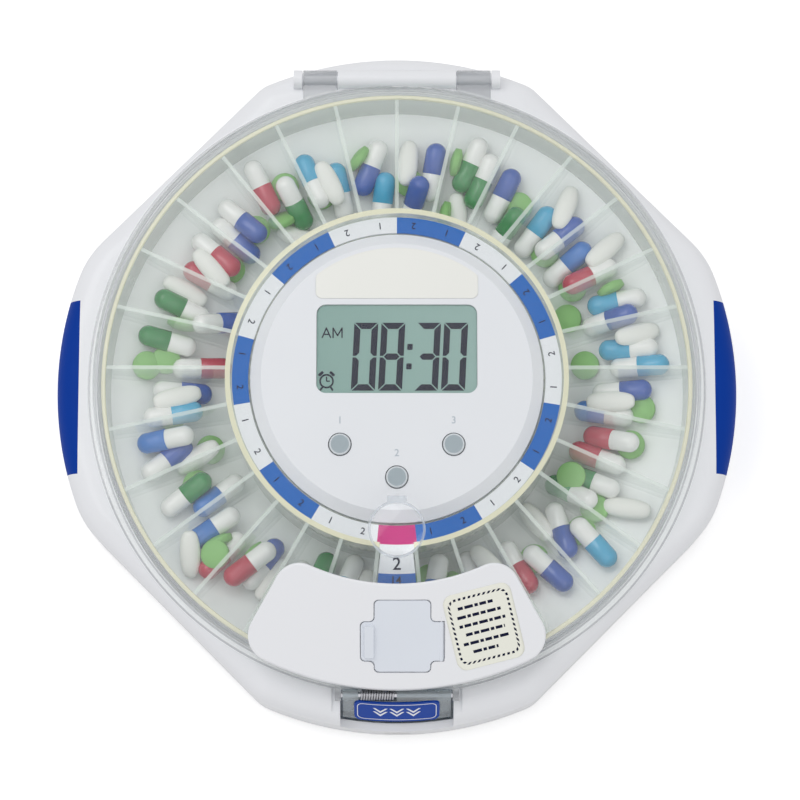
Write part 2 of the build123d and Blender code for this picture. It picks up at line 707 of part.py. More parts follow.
export_step(dosage_ring.part, "parts/dosage_ring.step")


def involute(angle):
    return tan(angle) - angle


def tooth_outline(teeth, low, high, gap):
    """Outline of a gear between two radii; gap thins each flank of a tooth at the pitch circle."""
    pressure = radians(PRESSURE_ANGLE)
    pitch_radius = gear_module * teeth / 2
    base = pitch_radius * cos(pressure)
    half_at_pitch = pi / (2 * teeth) - gap / pitch_radius
    flank = []
    for step in range(FLANK_STEPS + 1):
        radius = max(low, base) + (high - max(low, base)) * step / FLANK_STEPS
        here = acos(min(1, base / radius))
        flank.append((radius, half_at_pitch + involute(pressure) - involute(here)))
    if low < base:
        flank.insert(0, (low, flank[0][1]))
    points = []
    for tooth in range(teeth):
        middle = 2 * pi * tooth / teeth
        for radius, half in flank:
            points.append((radius * cos(middle - half), radius * sin(middle - half)))
        for radius, half in reversed(flank):
            points.append((radius * cos(middle + half), radius * sin(middle + half)))
    return points


# Drive: toothed ring inside the tray's core, pinion, its shaft, gear motor and the plate that carries it
ring_pitch_radius = gear_module * RING_TEETH / 2
with BuildPart() as tray_ring_gear:
    tube(core_bore, 0, gear_z, gear_z + GEAR_WIDTH)
    with BuildSketch(Plane.XY.offset(gear_z)) as teeth_space:
        with BuildLine(Plane.XY.rotated((0, 0, 90))):
            Polyline(*tooth_outline(
                RING_TEETH, ring_pitch_radius - RING_ADDENDUM * gear_module,
                ring_pitch_radius + RING_DEDENDUM * gear_module, -GEAR_BACKLASH), close=True)
        make_face()
    extrude(amount=GEAR_WIDTH, mode=Mode.SUBTRACT)
tray_ring_gear.part.label = "tray_ring_gear"
export_step(tray_ring_gear.part, "parts/tray_ring_gear.step")

pinion_pitch_radius = gear_module * PINION_TEETH / 2
pinion_plane = Plane((0, centre_distance, gear_z + RUNNING_GAP), x_dir=(0, 1, 0), z_dir=(0, 0, 1))
with BuildPart() as drive_pinion:
    with BuildSketch(pinion_plane):
        with BuildLine():
            Polyline(*tooth_outline(
                PINION_TEETH, pinion_pitch_radius - PINION_DEDENDUM * gear_module,
                pinion_pitch_radius + PINION_ADDENDUM * gear_module, GEAR_BACKLASH), close=True)
        make_face()
        Circle(SHAFT_RADIUS, mode=Mode.SUBTRACT)
    extrude(amount=GEAR_WIDTH - 2 * RUNNING_GAP)
drive_pinion.part.label = "drive_pinion"
export_step(drive_pinion.part, "parts/drive_pinion.step")

with BuildPart() as pinion_shaft:
    post([(0, centre_distance)], SHAFT_RADIUS, gear_z - RUNNING_GAP, plate_top_z + SHAFT_BITE)
pinion_shaft.part.label = "pinion_shaft"
export_step(pinion_shaft.part, "parts/pinion_shaft.step")

motor_y = centre_distance - MOTOR_OFFSET
motor_ears = [(side * MOTOR_EAR_SPAN, motor_y) for side in (-1, 1)]
with BuildPart() as gear_motor:
    post([(0, motor_y)], MOTOR_RADIUS, plate_top_z, motor_top_z)
    with BuildSketch(Plane.XY.offset(plate_top_z)):
        with Locations(*motor_ears):
            Circle(MOTOR_EAR_RADIUS)
        with Locations((0, motor_y)):
            Rectangle(2 * MOTOR_EAR_SPAN, 2 * MOTOR_EAR_RADIUS)
    extrude(amount=MOTOR_EAR)
    post([(0, centre_distance)], MOTOR_BOSS, plate_z, plate_top_z)
    post([(0, centre_distance)], SHAFT_RADIUS + PIN_FIT, plate_z, plate_top_z + SHAFT_BITE + FIT_GAP,
         mode=Mode.SUBTRACT)
    post(motor_ears, SMALL_SCREW_RADIUS, plate_top_z, plate_top_z + MOTOR_EAR, mode=Mode.SUBTRACT)
gear_motor.part.label = "gear_motor"
export_step(gear_motor.part, "parts/gear_motor.step")

with BuildPart() as motor_plate:
    tube(hub_bore - FIT_GAP, 0, plate_z, plate_top_z)
    post([(0, centre_distance)], MOTOR_BOSS + FIT_GAP, plate_z, plate_top_z, mode=Mode.SUBTRACT)
    post(board_posts, POST_RADIUS, plate_z, board_z)
    post(board_posts, SMALL_SCREW_RADIUS, board_top_z - SMALL_SCREW_LENGTH, board_z, mode=Mode.SUBTRACT)
    post(motor_ears, SMALL_SCREW_RADIUS, plate_z, plate_top_z, mode=Mode.SUBTRACT)
motor_plate.part.label = "motor_plate"
export_step(motor_plate.part, "parts/motor_plate.step")

# Hub drum, with a ledge for the motor plate and a window for the pinion
pinion_tip = pinion_pitch_radius + PINION_ADDENDUM * gear_module
with BuildPart() as hub_housing:
    tube(hub_outside, hub_bore, pan_top_z, seam_z)
    tube(hub_bore, hub_bore - PLATE_LEDGE, plate_z - MOTOR_PLATE, plate_z)
    block((-pinion_tip - RUNNING_GAP, pinion_tip + RUNNING_GAP), (motor_y, body_radius),
          (gear_z - 2 * RUNNING_GAP, plate_z), mode=Mode.SUBTRACT)
hub_housing.part.label = "hub_housing"
export_step(hub_housing.part, "parts/hub_housing.step")

# Hub cap, with the display window, a seat for the half-moon plate and the button holes
button_places = {
    "button_left": (-BUTTON_SIDE_X, BUTTON_SIDE_Y),
    "button_front": (0, BUTTON_FRONT_Y),
    "button_right": (BUTTON_SIDE_X, BUTTON_SIDE_Y)}


def fascia_plan(gap):
    """Plan of the half-moon plate: a strip under the arc of the panel, pulled in by gap."""
    with BuildSketch() as plan:
        Circle(fascia_radius - gap)
        with Locations((0, FASCIA_EDGE + fascia_radius / 2 + gap)):
            Rectangle(2 * (fascia_half_width - gap), fascia_radius, mode=Mode.INTERSECT)
        fillet(plan.vertices(), FASCIA_CORNER - gap)
    return plan.sketch


with BuildPart() as hub_cap:
    turned([
        (0, hub_ceiling_z), (hub_bore, hub_ceiling_z), (hub_bore, seam_z), (hub_radius, seam_z),
        (hub_radius, hub_top_z - HUB_BEVEL_DROP), (hub_radius - HUB_BEVEL, hub_top_z), (0, hub_top_z)])
    with BuildSketch(Plane.XY.offset(hub_ceiling_z)):
        with Locations((0, SCREEN_Y)):
            RectangleRounded(SCREEN_WIDTH, SCREEN_HEIGHT, SCREEN_CORNER)
        with Locations(*button_places.values()):
            Circle(BUTTON_RADIUS + BUTTON_GAP)
    extrude(amount=HUB_CAP, mode=Mode.SUBTRACT)
    with BuildSketch(Plane.XY.offset(hub_top_z)):
        add(fascia_plan(0))
    extrude(amount=FASCIA_RISE - FASCIA_THICKNESS, mode=Mode.SUBTRACT)
hub_cap.part.label = "hub_cap"
export_step(hub_cap.part, "parts/hub_cap.step")

with BuildPart() as fascia_plate:
    with BuildSketch(Plane.XY.offset(hub_top_z + FASCIA_RISE - FASCIA_THICKNESS)):
        add(fascia_plan(PIN_FIT))
    extrude(amount=FASCIA_THICKNESS)
fascia_plate.part.label = "fascia_plate"
export_step(fascia_plate.part, "parts/fascia_plate.step")

# Display: framed module on the board, its glass up in the window, and a clear lens over it
lens_z = hub_top_z - DISPLAY_SETBACK - DISPLAY_LENS
with BuildPart() as lcd_module:
    with BuildSketch(Plane.XY.offset(board_top_z)):
        with Locations((0, SCREEN_Y)):
            Rectangle(DISPLAY_FRAME_WIDTH, DISPLAY_FRAME_HEIGHT)
    extrude(amount=hub_ceiling_z - RUNNING_GAP - board_top_z)
    with BuildSketch(Plane.XY.offset(hub_ceiling_z - RUNNING_GAP)):
        with Locations((0, SCREEN_Y)):
            RectangleRounded(SCREEN_WIDTH - 2 * FIT_GAP, SCREEN_HEIGHT - 2 * FIT_GAP,
                             SCREEN_CORNER - FIT_GAP)
    extrude(amount=lens_z - FIT_GAP - hub_ceiling_z + RUNNING_GAP)
lcd_module.part.label = "lcd_module"
export_step(lcd_module.part, "parts/lcd_module.step")

with BuildPart() as display_lens:
    with BuildSketch(Plane.XY.offset(lens_z)):
        with Locations((0, SCREEN_Y)):
            RectangleRounded(SCREEN_WIDTH - FIT_GAP, SCREEN_HEIGHT - FIT_GAP, SCREEN_CORNER - FIT_GAP / 2)
    extrude(amount=DISPLAY_LENS)
display_lens.part.label = "display_lens"
export_step(display_lens.part, "parts/display_lens.step")

# Buttons: a cap through the hub cap, kept in by a flange below it
switch_top_z = board_top_z + SWITCH_BODY + BUTTON_STROKE
button_z = switch_top_z + BUTTON_STROKE + FIT_GAP
flange_top_z = hub_ceiling_z - RUNNING_GAP
for name, place in button_places.items():
    with BuildPart() as button:
        post([place], BUTTON_FLANGE, flange_top_z - BUTTON_FLANGE_HEIGHT, flange_top_z)
        post([place], BUTTON_RADIUS, button_z, hub_top_z + BUTTON_RISE)
        fillet(button.faces().sort_by(Axis.Z)[-1].edges(), BUTTON_RISE / 2)
    button.part.label = name
    export_step(button.part, f"parts/{name}.step")

# Main board, its switches under the buttons, buzzer and home switch
with BuildPart() as main_board:
    tube(hub_bore - BOARD_SIDE_GAP, 0, board_z, board_top_z)
    post(board_posts, SMALL_SCREW_RADIUS, board_z, board_top_z, mode=Mode.SUBTRACT)
main_board.part.label = "main_board"
export_step(main_board.part, "parts/main_board.step")

with BuildPart() as tact_switches:
    for x, y in button_places.values():
        block((x - SWITCH_SIDE / 2, x + SWITCH_SIDE / 2), (y - SWITCH_SIDE / 2, y + SWITCH_SIDE / 2),
              (board_top_z, board_top_z + SWITCH_BODY))
    post(button_places.values(), SWITCH_STEM_RADIUS, board_top_z, switch_top_z)
tact_switches.part.label = "tact_switches"
export_step(tact_switches.part, "parts/tact_switches.step")

with BuildPart() as buzzer:
    post([(0, BUZZER_Y)], BUZZER_RADIUS, board_z - BUZZER_HEIGHT, board_z)
    post([(0, BUZZER_Y)], SMALL_SCREW_RADIUS, board_z - BUZZER_HEIGHT, board_z - BUZZER_HEIGHT / 2,
         mode=Mode.SUBTRACT)
buzzer.part.label = "buzzer"
export_step(buzzer.part, "parts/buzzer.step")

switch_x, switch_y, switch_height = HOME_SWITCH_SIZE
switch_z = plate_top_z + switch_height
with BuildPart() as home_switch:
    block((-switch_x / 2, switch_x / 2), (HOME_SWITCH_Y - switch_y / 2, HOME_SWITCH_Y + switch_y / 2),
          (plate_top_z, switch_z))
    post([(-switch_x / 4, HOME_SWITCH_Y)], CONTACT, switch_z, switch_z + HOME_SWITCH_PLUNGER)
home_switch.part.label = "home_switch"
export_step(home_switch.part, "parts/home_switch.step")

# Cells and the sprung contact strips at their two ends
cell_pitch = 2 * (CELL_RADIUS + CELL_SIDE_GAP)
cell_axis_z = cell_z + CELL_RADIUS
cell_xs = [(index - (CELLS - 1) / 2) * cell_pitch for index in range(CELLS)]
with BuildPart() as battery_cells:
    with BuildSketch(Plane.XZ.offset(-CELL_LENGTH / 2)):
        with Locations(*[(x, cell_axis_z) for x in cell_xs]):
            Circle(CELL_RADIUS)
    extrude(amount=CELL_LENGTH)
battery_cells.part.label = "battery_cells"
export_step(battery_cells.part, "parts/battery_cells.step")

with BuildPart() as battery_contacts:
    for side in (-1, 1):
        near, far = sorted((side * (CELL_LENGTH / 2 + RUNNING_GAP), side * box_half_y))
        wall = sorted((side * box_half_y, side * (box_half_y - CONTACT)))
        for x in cell_xs:
            block((x - CONTACT_HALF_WIDTH, x + CONTACT_HALF_WIDTH), wall,
                  (cell_axis_z - CONTACT_HALF_WIDTH, cell_axis_z + CONTACT_HALF_WIDTH))
            block((x - CONTACT, x + CONTACT), (near, far), (cell_axis_z - CONTACT, cell_axis_z + CONTACT))
battery_contacts.part.label = "battery_contacts"
export_step(battery_contacts.part, "parts/battery_contacts.step")

# Inlet for the mains adaptor
jack_face_y = body_radius - JACK_INSET
jack_z = cover_top_z + JACK_HEIGHT / 2 + RUNNING_GAP
with BuildPart() as power_jack:
    jack_front_y = body_radius - BODY_WALL
    block((-JACK_WIDTH / 2, JACK_WIDTH / 2), (jack_front_y - JACK_LENGTH, jack_front_y - FIT_GAP),
          (cover_top_z, cover_top_z + JACK_HEIGHT))
    with BuildSketch(Plane.XZ.offset(-jack_face_y)):
        with Locations((0, jack_z)):
            Circle(JACK_BORE)
    extrude(amount=BODY_WALL)
    with BuildSketch(Plane.XZ.offset(-jack_face_y)):
        with Locations((0, jack_z)):
            Circle(JACK_BORE - CONTACT)
            Circle(JACK_PIN, mode=Mode.SUBTRACT)
    extrude(amount=JACK_BORE_DEPTH, mode=Mode.SUBTRACT)
power_jack.part.label = "power_jack"
export_step(power_jack.part, "parts/power_jack.step")


# Lid
def lid_outside_z(radius):
    """Height of the lid's sloping outer face at a radius."""
    return ceiling_z + lid_skin - lid_fall * (radius - crown_radius)


def cover_plan(outer, inset):
    """Plan of the outlet cover out to a radius: a rounded sector at the front, pulled in by inset."""
    reach = 2 * outer
    half = radians(COVER_HALF_ANGLE)
    with BuildSketch() as plan:
        Circle(outer)
        Circle(cover_inner, mode=Mode.SUBTRACT)
        with BuildLine():
            Polyline((0, 0), (-reach * sin(half), -reach * cos(half)),
                     (reach * sin(half), -reach * cos(half)), close=True)
        make_face(mode=Mode.INTERSECT)
        fillet(plan.vertices(), COVER_CORNER)
        if inset > 0:
            offset(amount=-inset)
    return plan.sketch


crown_corner = (crown_radius + (lid_skin - LID_WALL) / lid_fall, lid_top_z)
shoulder_corner = (lid_side, lid_outside_z(lid_side))
with BuildPart() as lid:
    turned([
        (flange_radius, lid_z), (flange_radius, lid_flange_top_z), (lid_side, lid_flange_top_z),
        shoulder_corner, crown_corner, (0, lid_top_z), (0, ceiling_z), (crown_radius, ceiling_z),
        (lid_bore, eave_z), (lid_bore, lid_z)],
        bends=[(shoulder_corner, LID_SHOULDER), (crown_corner, CROWN_BEND + LID_WALL),
               ((crown_radius, ceiling_z), CROWN_BEND)])
    # aperture for the outlet cover and hole for the magnifier
    with BuildSketch(Plane.XY.offset(rim_z)):
        add(cover_plan(cover_plug_outer, COVER_LEDGE))
        with Locations((0, -lens_place)):
            Circle(LENS_RADIUS - LENS_LIP)
    extrude(amount=lid_top_z, mode=Mode.SUBTRACT)
    # flange cut back at the hinge, and between the ears of the latch
    block((-horn_outer - RUNNING_GAP, horn_outer + RUNNING_GAP),
          (hinge_y - KNUCKLE_RADIUS - 2 * RUNNING_GAP, body_radius), (lid_z, lid_flange_top_z),
          mode=Mode.SUBTRACT)
    with BuildSketch(Plane.XY.offset(lid_z)):
        Circle(body_radius)
        Circle(lid_side, mode=Mode.SUBTRACT)
        with Locations((0, -body_radius)):
            Rectangle(2 * ear_inner, 2 * (DECK_WIDTH + LID_FLANGE + OVERCUT), mode=Mode.INTERSECT)
    extrude(amount=LID_FLANGE_HEIGHT, mode=Mode.SUBTRACT)
    # hinge tabs with their knuckles
    tab_start_y = sqrt(lid_bore**2 - TAB_INNER**2) + LID_SIDE_WALL / 2
    for side in (-1, 1):
        low, high = sorted((side * TAB_INNER, side * tab_outer))
        block((low, high), (tab_start_y, hinge_y), (lid_z, lid_flange_top_z))
        rod(low, high, hinge_y, hinge_z, KNUCKLE_RADIUS)
        rod(low, high, hinge_y, hinge_z, HINGE_PIN + PIN_FIT, mode=Mode.SUBTRACT)
    # ears for the latch's pin
    ear_radius = LATCH_BARREL + LATCH_EAR_MARGIN
    ear_start_y = -sqrt(lid_side**2 - (ear_inner + LATCH_EAR)**2) + LID_SIDE_WALL / 4
    for side in (-1, 1):
        low, high = sorted((side * ear_inner, side * (ear_inner + LATCH_EAR)))
        block((low, high), (latch_y, ear_start_y), (lid_z, latch_z + ear_radius))
        rod(low, high, latch_y, latch_z, ear_radius)
        rod(low, high, latch_y, latch_z, LATCH_PIN, mode=Mode.SUBTRACT)
lid.part.label = "lid"
export_step(lid.part, "parts/lid.step")

with BuildPart() as hinge_pins:
    for side in (-1, 1):
        low, high = sorted((side * (TAB_INNER - PIN_BITE), side * horn_outer))
        rod(low, high, hinge_y, hinge_z, HINGE_PIN)
hinge_pins.part.label = "hinge_pins"
export_step(hinge_pins.part, "parts/hinge_pins.step")

# Magnifier, plugged into the crown of the lid over the number ring
lens_plane = Plane((0, -lens_place, 0), x_dir=(1, 0, 0), z_dir=(0, -1, 0))
lens_plug = LENS_RADIUS - LENS_LIP - FIT_GAP
lens_lip_z = lid_top_z + LENS_LIP
with BuildPart() as dose_lens:
    with BuildSketch(lens_plane):
        with BuildLine():
            Polyline((0, ceiling_z), (lens_plug, ceiling_z), (lens_plug, lid_top_z),
                     (LENS_RADIUS, lid_top_z), (LENS_RADIUS, lens_lip_z), (lens_plug, lens_lip_z))
            halfway_z = lens_lip_z + (lens_top_z - lens_lip_z) * 3 / 4
            ThreePointArc((lens_plug, lens_lip_z), (lens_plug / 2, halfway_z), (0, lens_top_z))
            Line((0, lens_top_z), (0, ceiling_z))
        make_face()
    revolve(axis=Axis((0, -lens_place, 0), (0, 0, 1)))
    block((-LENS_TAB / 2, LENS_TAB / 2), (-lens_place + lens_plug, -lens_place + LENS_RADIUS + LENS_RISE),
          (lid_top_z, lens_lip_z))
dose_lens.part.label = "dose_lens"
export_step(dose_lens.part, "parts/dose_lens.step")

# Outlet cover: a plate with a plug through the aperture, a skirt, the seat of the flap and the outlet
cover_face_z = lid_outside_z(-flap_y) + COVER_RISE
flap_plane = Plane((FLAP_X, flap_y, cover_face_z), x_dir=(1, 0, 0),
                   z_dir=(0, -sin(radians(lid_tilt)), cos(radians(lid_tilt))))
flap_hinge_x = FLAP_WIDTH / 2 - FLAP_BARREL - FIT_GAP
flap_middle = FLAP_THICKNESS / 2 + FIT_GAP - FLAP_DEPTH
cover_depth = COVER_RISE * cos(radians(lid_tilt)) + LID_WALL


def flap_plan(grow):
    """Plan of the flap: a wide part with the hinge and the ridge, and a longer neck over the outlet."""
    with BuildSketch(flap_plane) as plan:
        Rectangle(FLAP_WIDTH + 2 * grow, flap_length + 2 * grow)
        with Locations((0, flap_neck_shift)):
            Rectangle(FLAP_NECK_WIDTH + 2 * grow, flap_neck_length + 2 * grow)
        fillet(plan.vertices(), flap_corner)
    return plan


def outlet_plan(grow):
    """Plan of the outlet under the neck of the flap."""
    with BuildSketch(flap_plane) as plan:
        with Locations((0, flap_neck_shift)):
            RectangleRounded(OUTLET_WIDTH + 2 * grow, outlet_length + 2 * grow, flap_corner)
    return plan


def flap_rod(length, radius, mode=Mode.ADD):
    """A round bar along the flap's hinge axis, centred on the flap."""
    start = flap_plane.from_local_coords((flap_hinge_x, -length / 2, flap_middle))
    with BuildSketch(Plane(start, x_dir=flap_plane.x_dir, z_dir=flap_plane.y_dir)) as section:
        Circle(radius)
    extrude(section.sketch, amount=length, mode=mode)


def sloping_band(low, high):
    """A layer that follows the slope of the lid, between two distances above its outer face."""
    inner = cover_inner - COVER_RISE
    outer = cover_outer + COVER_RISE
    with BuildPart() as band:
        turned([
            (inner, lid_outside_z(inner) + low), (outer, lid_outside_z(outer) + low),
            (outer, lid_outside_z(outer) + high), (inner, lid_outside_z(inner) + high)])
    return band.part


with BuildPart() as cover_plug:
    with BuildSketch():
        add(cover_plan(cover_plug_outer, COVER_LEDGE + COVER_FIT))
    extrude(amount=lid_top_z)
    add(sloping_band(-lid_skin, COVER_RISE / 2), mode=Mode.INTERSECT)
# skirt over the side wall of the lid, clear of the flange and the latch
skirt_inner = lid_side + FIT_GAP
skirt_z = lid_flange_top_z + COVER_SKIRT_GAP
skirt_half_width = cover_outer * sin(radians(COVER_HALF_ANGLE)) - COVER_CORNER
with BuildPart() as cover_skirt:
    turned([
        (skirt_inner, skirt_z), (cover_outer, skirt_z),
        (cover_outer, lid_outside_z(cover_outer) + COVER_RISE / 2),
        (skirt_inner, lid_outside_z(skirt_inner) + COVER_RISE / 2)])
    block((-skirt_half_width, skirt_half_width), (-body_radius, 0), (lid_z, lid_top_z), mode=Mode.INTERSECT)
pin_length = flap_length + 4 * FLAP_BARREL
with BuildPart() as hopper_cover:
    with BuildSketch():
        add(cover_plan(cover_outer, 0))
    extrude(amount=lens_top_z)
    add(sloping_band(FIT_GAP, COVER_RISE), mode=Mode.INTERSECT)
    fillet(hopper_cover.faces().sort_by(lambda face: face.center().Z)[-1].edges(), COVER_EDGE)
    add(cover_plug.part)
    add(cover_skirt.part)
    extrude(flap_plan(RUNNING_GAP).sketch, amount=lens_top_z, mode=Mode.SUBTRACT)
    extrude(flap_plan(RUNNING_GAP).sketch, amount=-FLAP_DEPTH, mode=Mode.SUBTRACT)
    extrude(outlet_plan(0).sketch, amount=-2 * cover_depth, mode=Mode.SUBTRACT)
    flap_rod(flap_length + 2 * RUNNING_GAP, FLAP_BARREL + RUNNING_GAP, mode=Mode.SUBTRACT)
    flap_rod(pin_length, FLAP_PIN, mode=Mode.SUBTRACT)
hopper_cover.part.label = "hopper_cover"
export_step(hopper_cover.part, "parts/hopper_cover.step")

with BuildPart() as dispensing_chute:
    with BuildSketch(flap_plane.offset(-cover_depth - RUNNING_GAP)):
        with Locations((0, flap_neck_shift)):
            RectangleRounded(OUTLET_WIDTH + 2 * CHUTE_WALL, outlet_length + 2 * CHUTE_WALL,
                             flap_corner + CHUTE_WALL)
            RectangleRounded(OUTLET_WIDTH, outlet_length, flap_corner, mode=Mode.SUBTRACT)
    extrude(amount=-CHUTE_DEPTH)
dispensing_chute.part.label = "dispensing_chute"
export_step(dispensing_chute.part, "parts/dispensing_chute.step")

with BuildPart() as dispensing_flap:
    with BuildSketch(flap_plane.offset(FIT_GAP - FLAP_DEPTH)):
        add(flap_plan(0).sketch_local)
        with Locations((flap_hinge_x + FLAP_WIDTH / 2, 0)):
            Rectangle(FLAP_WIDTH, flap_neck_length, mode=Mode.SUBTRACT)
    extrude(amount=FLAP_THICKNESS)
    flap_rod(flap_length, FLAP_BARREL)
    with BuildSketch(flap_plane.offset(FIT_GAP - FLAP_DEPTH + FLAP_THICKNESS)):
        with Locations((-FLAP_WIDTH / 2 + FLAP_RIDGE / 2 + flap_corner / 2, 0)):
            RectangleRounded(FLAP_RIDGE, flap_length - flap_corner, FLAP_RIDGE_CORNER)
    extrude(amount=FLAP_RIDGE_HEIGHT, taper=FLAP_RIDGE_TAPER)
    flap_rod(flap_length, FLAP_PIN + PIN_FIT, mode=Mode.SUBTRACT)
dispensing_flap.part.label = "dispensing_flap"
export_step(dispensing_flap.part, "parts/dispensing_flap.step")

with BuildPart() as flap_pin:
    flap_rod(pin_length, FLAP_PIN)
flap_pin.part.label = "flap_pin"
export_step(flap_pin.part, "parts/flap_pin.step")

# Latch: a clear lever hung on a pin in the lid's ears, its spring, pin and press label
pivot_radius = -latch_y
foot_radius = latch_bend_radius - LATCH_NOSE
plate_top = (pivot_radius + LATCH_BARREL, latch_z)
plate_bend = (latch_bend_radius, latch_bend_z)
with BuildPart() as latch_lever:
    turned([
        plate_top, plate_bend, (foot_radius, latch_bend_z - LATCH_NOSE),
        (foot_radius, latch_foot_z + LATCH_NOSE_HEIGHT + LATCH_NOSE),
        (latch_bend_radius, latch_foot_z + LATCH_NOSE_HEIGHT), (latch_bend_radius, latch_foot_z),
        (foot_radius - LATCH_FOOT_PLATE, latch_foot_z), (foot_radius - LATCH_FOOT_PLATE, latch_bend_z),
        (plate_top[0] - LATCH_PLATE, latch_z)])
    block((-LATCH_HALF_WIDTH, LATCH_HALF_WIDTH), (-body_radius, -LATCH_HALF_WIDTH), (0, ceiling_z),
          mode=Mode.INTERSECT)
    rod(-LATCH_HALF_WIDTH, LATCH_HALF_WIDTH, latch_y, latch_z, LATCH_BARREL)
    rod(-SPRING_LEFT - RUNNING_GAP, -SPRING_RIGHT + RUNNING_GAP, latch_y, latch_z,
        LATCH_BARREL + RUNNING_GAP, mode=Mode.SUBTRACT)
    rod(-LATCH_HALF_WIDTH, LATCH_HALF_WIDTH, latch_y, latch_z, LATCH_PIN + PIN_FIT, mode=Mode.SUBTRACT)
latch_lever.part.label = "latch_lever"
export_step(latch_lever.part, "parts/latch_lever.step")

with BuildPart() as latch_pin:
    rod(-ear_inner - LATCH_EAR, ear_inner + LATCH_EAR, latch_y, latch_z, LATCH_PIN)
latch_pin.part.label = "latch_pin"
export_step(latch_pin.part, "parts/latch_pin.step")

turns = round((SPRING_LEFT - SPRING_RIGHT) / SPRING_WIRE)
coil_pitch = (SPRING_LEFT - SPRING_RIGHT) / turns
coil_inner = LATCH_PIN + FIT_GAP
coil_middle = coil_inner + SPRING_WIRE / 2
with BuildPart() as latch_spring:
    with BuildSketch(Plane((0, latch_y, latch_z), x_dir=(1, 0, 0), z_dir=(0, -1, 0))):
        with BuildLine():
            for turn in range(turns):
                start = -SPRING_LEFT + turn * coil_pitch
                ThreePointArc((start, coil_middle), (start + coil_pitch / 2, coil_inner + SPRING_WIRE),
                              (start + coil_pitch, coil_middle))
            Polyline((-SPRING_RIGHT, coil_middle), (-SPRING_RIGHT, coil_inner),
                     (-SPRING_LEFT, coil_inner), (-SPRING_LEFT, coil_middle))
        make_face()
    revolve(axis=Axis((0, latch_y, latch_z), (1, 0, 0)))
latch_spring.part.label = "latch_spring"
export_step(latch_spring.part, "parts/latch_spring.step")

slant = sqrt((plate_bend[0] - plate_top[0])**2 + (plate_bend[1] - plate_top[1])**2)
along = ((plate_bend[0] - plate_top[0]) / slant, (plate_bend[1] - plate_top[1]) / slant)
outward = (-along[1], along[0])


def on_plate(distance, height):
    """A point of the section at a distance down the latch's slanting face and a height off it."""
    return (plate_top[0] + along[0] * distance + outward[0] * height,
            plate_top[1] + along[1] * distance + outward[1] * height)


label_ends = (LABEL_MARGIN, slant - LABEL_MARGIN / 2)
with BuildPart() as press_label:
    turned([
        on_plate(label_ends[0], 0), on_plate(label_ends[1], 0),
        on_plate(label_ends[1], LABEL_THICKNESS), on_plate(label_ends[0], LABEL_THICKNESS)])
    label_low = on_plate(label_ends[1], 0)[1]
    label_high = on_plate(label_ends[0], LABEL_THICKNESS)[1]
    with BuildSketch(Plane.XZ.offset(LATCH_HALF_WIDTH)):
        with Locations((0, (label_low + label_high) / 2)):
            RectangleRounded(2 * LABEL_HALF_WIDTH, label_high - label_low, LABEL_CORNER)
    extrude(amount=body_radius, mode=Mode.INTERSECT)
press_label.part.label = "press_label"
export_step(press_label.part, "parts/press_label.step")

# Key lock below the latch, with the cam that turns behind the latch's foot
lock_back = well_outside + FIT_GAP + RUNNING_GAP + CAM_THICKNESS
with BuildPart() as lock_cylinder:
    with BuildSketch(Plane.XZ.offset(lock_back)):
        with Locations((0, LOCK_HEIGHT)):
            Circle(LOCK_RADIUS)
    extrude(amount=body_radius - LOCK_INSET - lock_back)
    block((-CAM_WIDTH / 2, CAM_LENGTH), (-lock_back, -lock_back + CAM_THICKNESS),
          (LOCK_HEIGHT - CAM_WIDTH / 2, LOCK_HEIGHT + CAM_WIDTH / 2))
    block((-KEYWAY_WIDTH / 2, KEYWAY_WIDTH / 2), (-body_radius, -body_radius + LOCK_INSET + KEYWAY_DEPTH),
          (LOCK_HEIGHT - KEYWAY_HEIGHT / 2, LOCK_HEIGHT + KEYWAY_HEIGHT / 2), mode=Mode.SUBTRACT)
lock_cylinder.part.label = "lock_cylinder"
export_step(lock_cylinder.part, "parts/lock_cylinder.step")

# Feet and screws
with BuildPart() as feet:
    post(feet_places, FOOT_RADIUS, 0, FOOT_HEIGHT)
    chamfer(feet.faces().group_by(Axis.Z)[0].edges(), FOOT_HEIGHT / 4)
feet.part.label = "feet"
export_step(feet.part, "parts/feet.step")

with BuildPart() as pan_screws:
    screw(pan_bosses, pan_z, SCREW_RADIUS, SCREW_HEAD_RADIUS, SCREW_HEAD, SCREW_LENGTH)
pan_screws.part.label = "pan_screws"
export_step(pan_screws.part, "parts/pan_screws.step")

with BuildPart() as cover_screws:
    screw(cover_bosses, cover_screw_head_z, SCREW_RADIUS, SCREW_HEAD_RADIUS, SCREW_HEAD, SCREW_LENGTH)
cover_screws.part.label = "cover_screws"
export_step(cover_screws.part, "parts/cover_screws.step")

with BuildPart() as board_screws:
    screw(board_posts, board_top_z, SMALL_SCREW_RADIUS, 2 * SMALL_SCREW_RADIUS, SMALL_SCREW_HEAD,
          SMALL_SCREW_LENGTH, up=-1)
board_screws.part.label = "board_screws"
export_step(board_screws.part, "parts/board_screws.step")

with BuildPart() as motor_screws:
    screw(motor_ears, plate_top_z + MOTOR_EAR, SMALL_SCREW_RADIUS, 2 * SMALL_SCREW_RADIUS, SMALL_SCREW_HEAD,
          MOTOR_EAR + MOTOR_PLATE, up=-1)
motor_screws.part.label = "motor_screws"
export_step(motor_screws.part, "parts/motor_screws.step")

with BuildPart() as door_screw:
    screw([(0, door_screw_y)], door_bottom_z, SMALL_SCREW_RADIUS, 2 * SMALL_SCREW_RADIUS, SMALL_SCREW_HEAD,
          BOTTOM_COVER)
door_screw.part.label = "door_screw"
export_step(door_screw.part, "parts/door_screw.step")
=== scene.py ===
"""Automatic pill dispenser: its finishes, printed marks, display and medicines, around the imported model."""

from math import atan2, cos, hypot, pi, radians, sin, sqrt, tan

import bmesh
import bpy
import numpy as np
from mathutils import Matrix, Vector


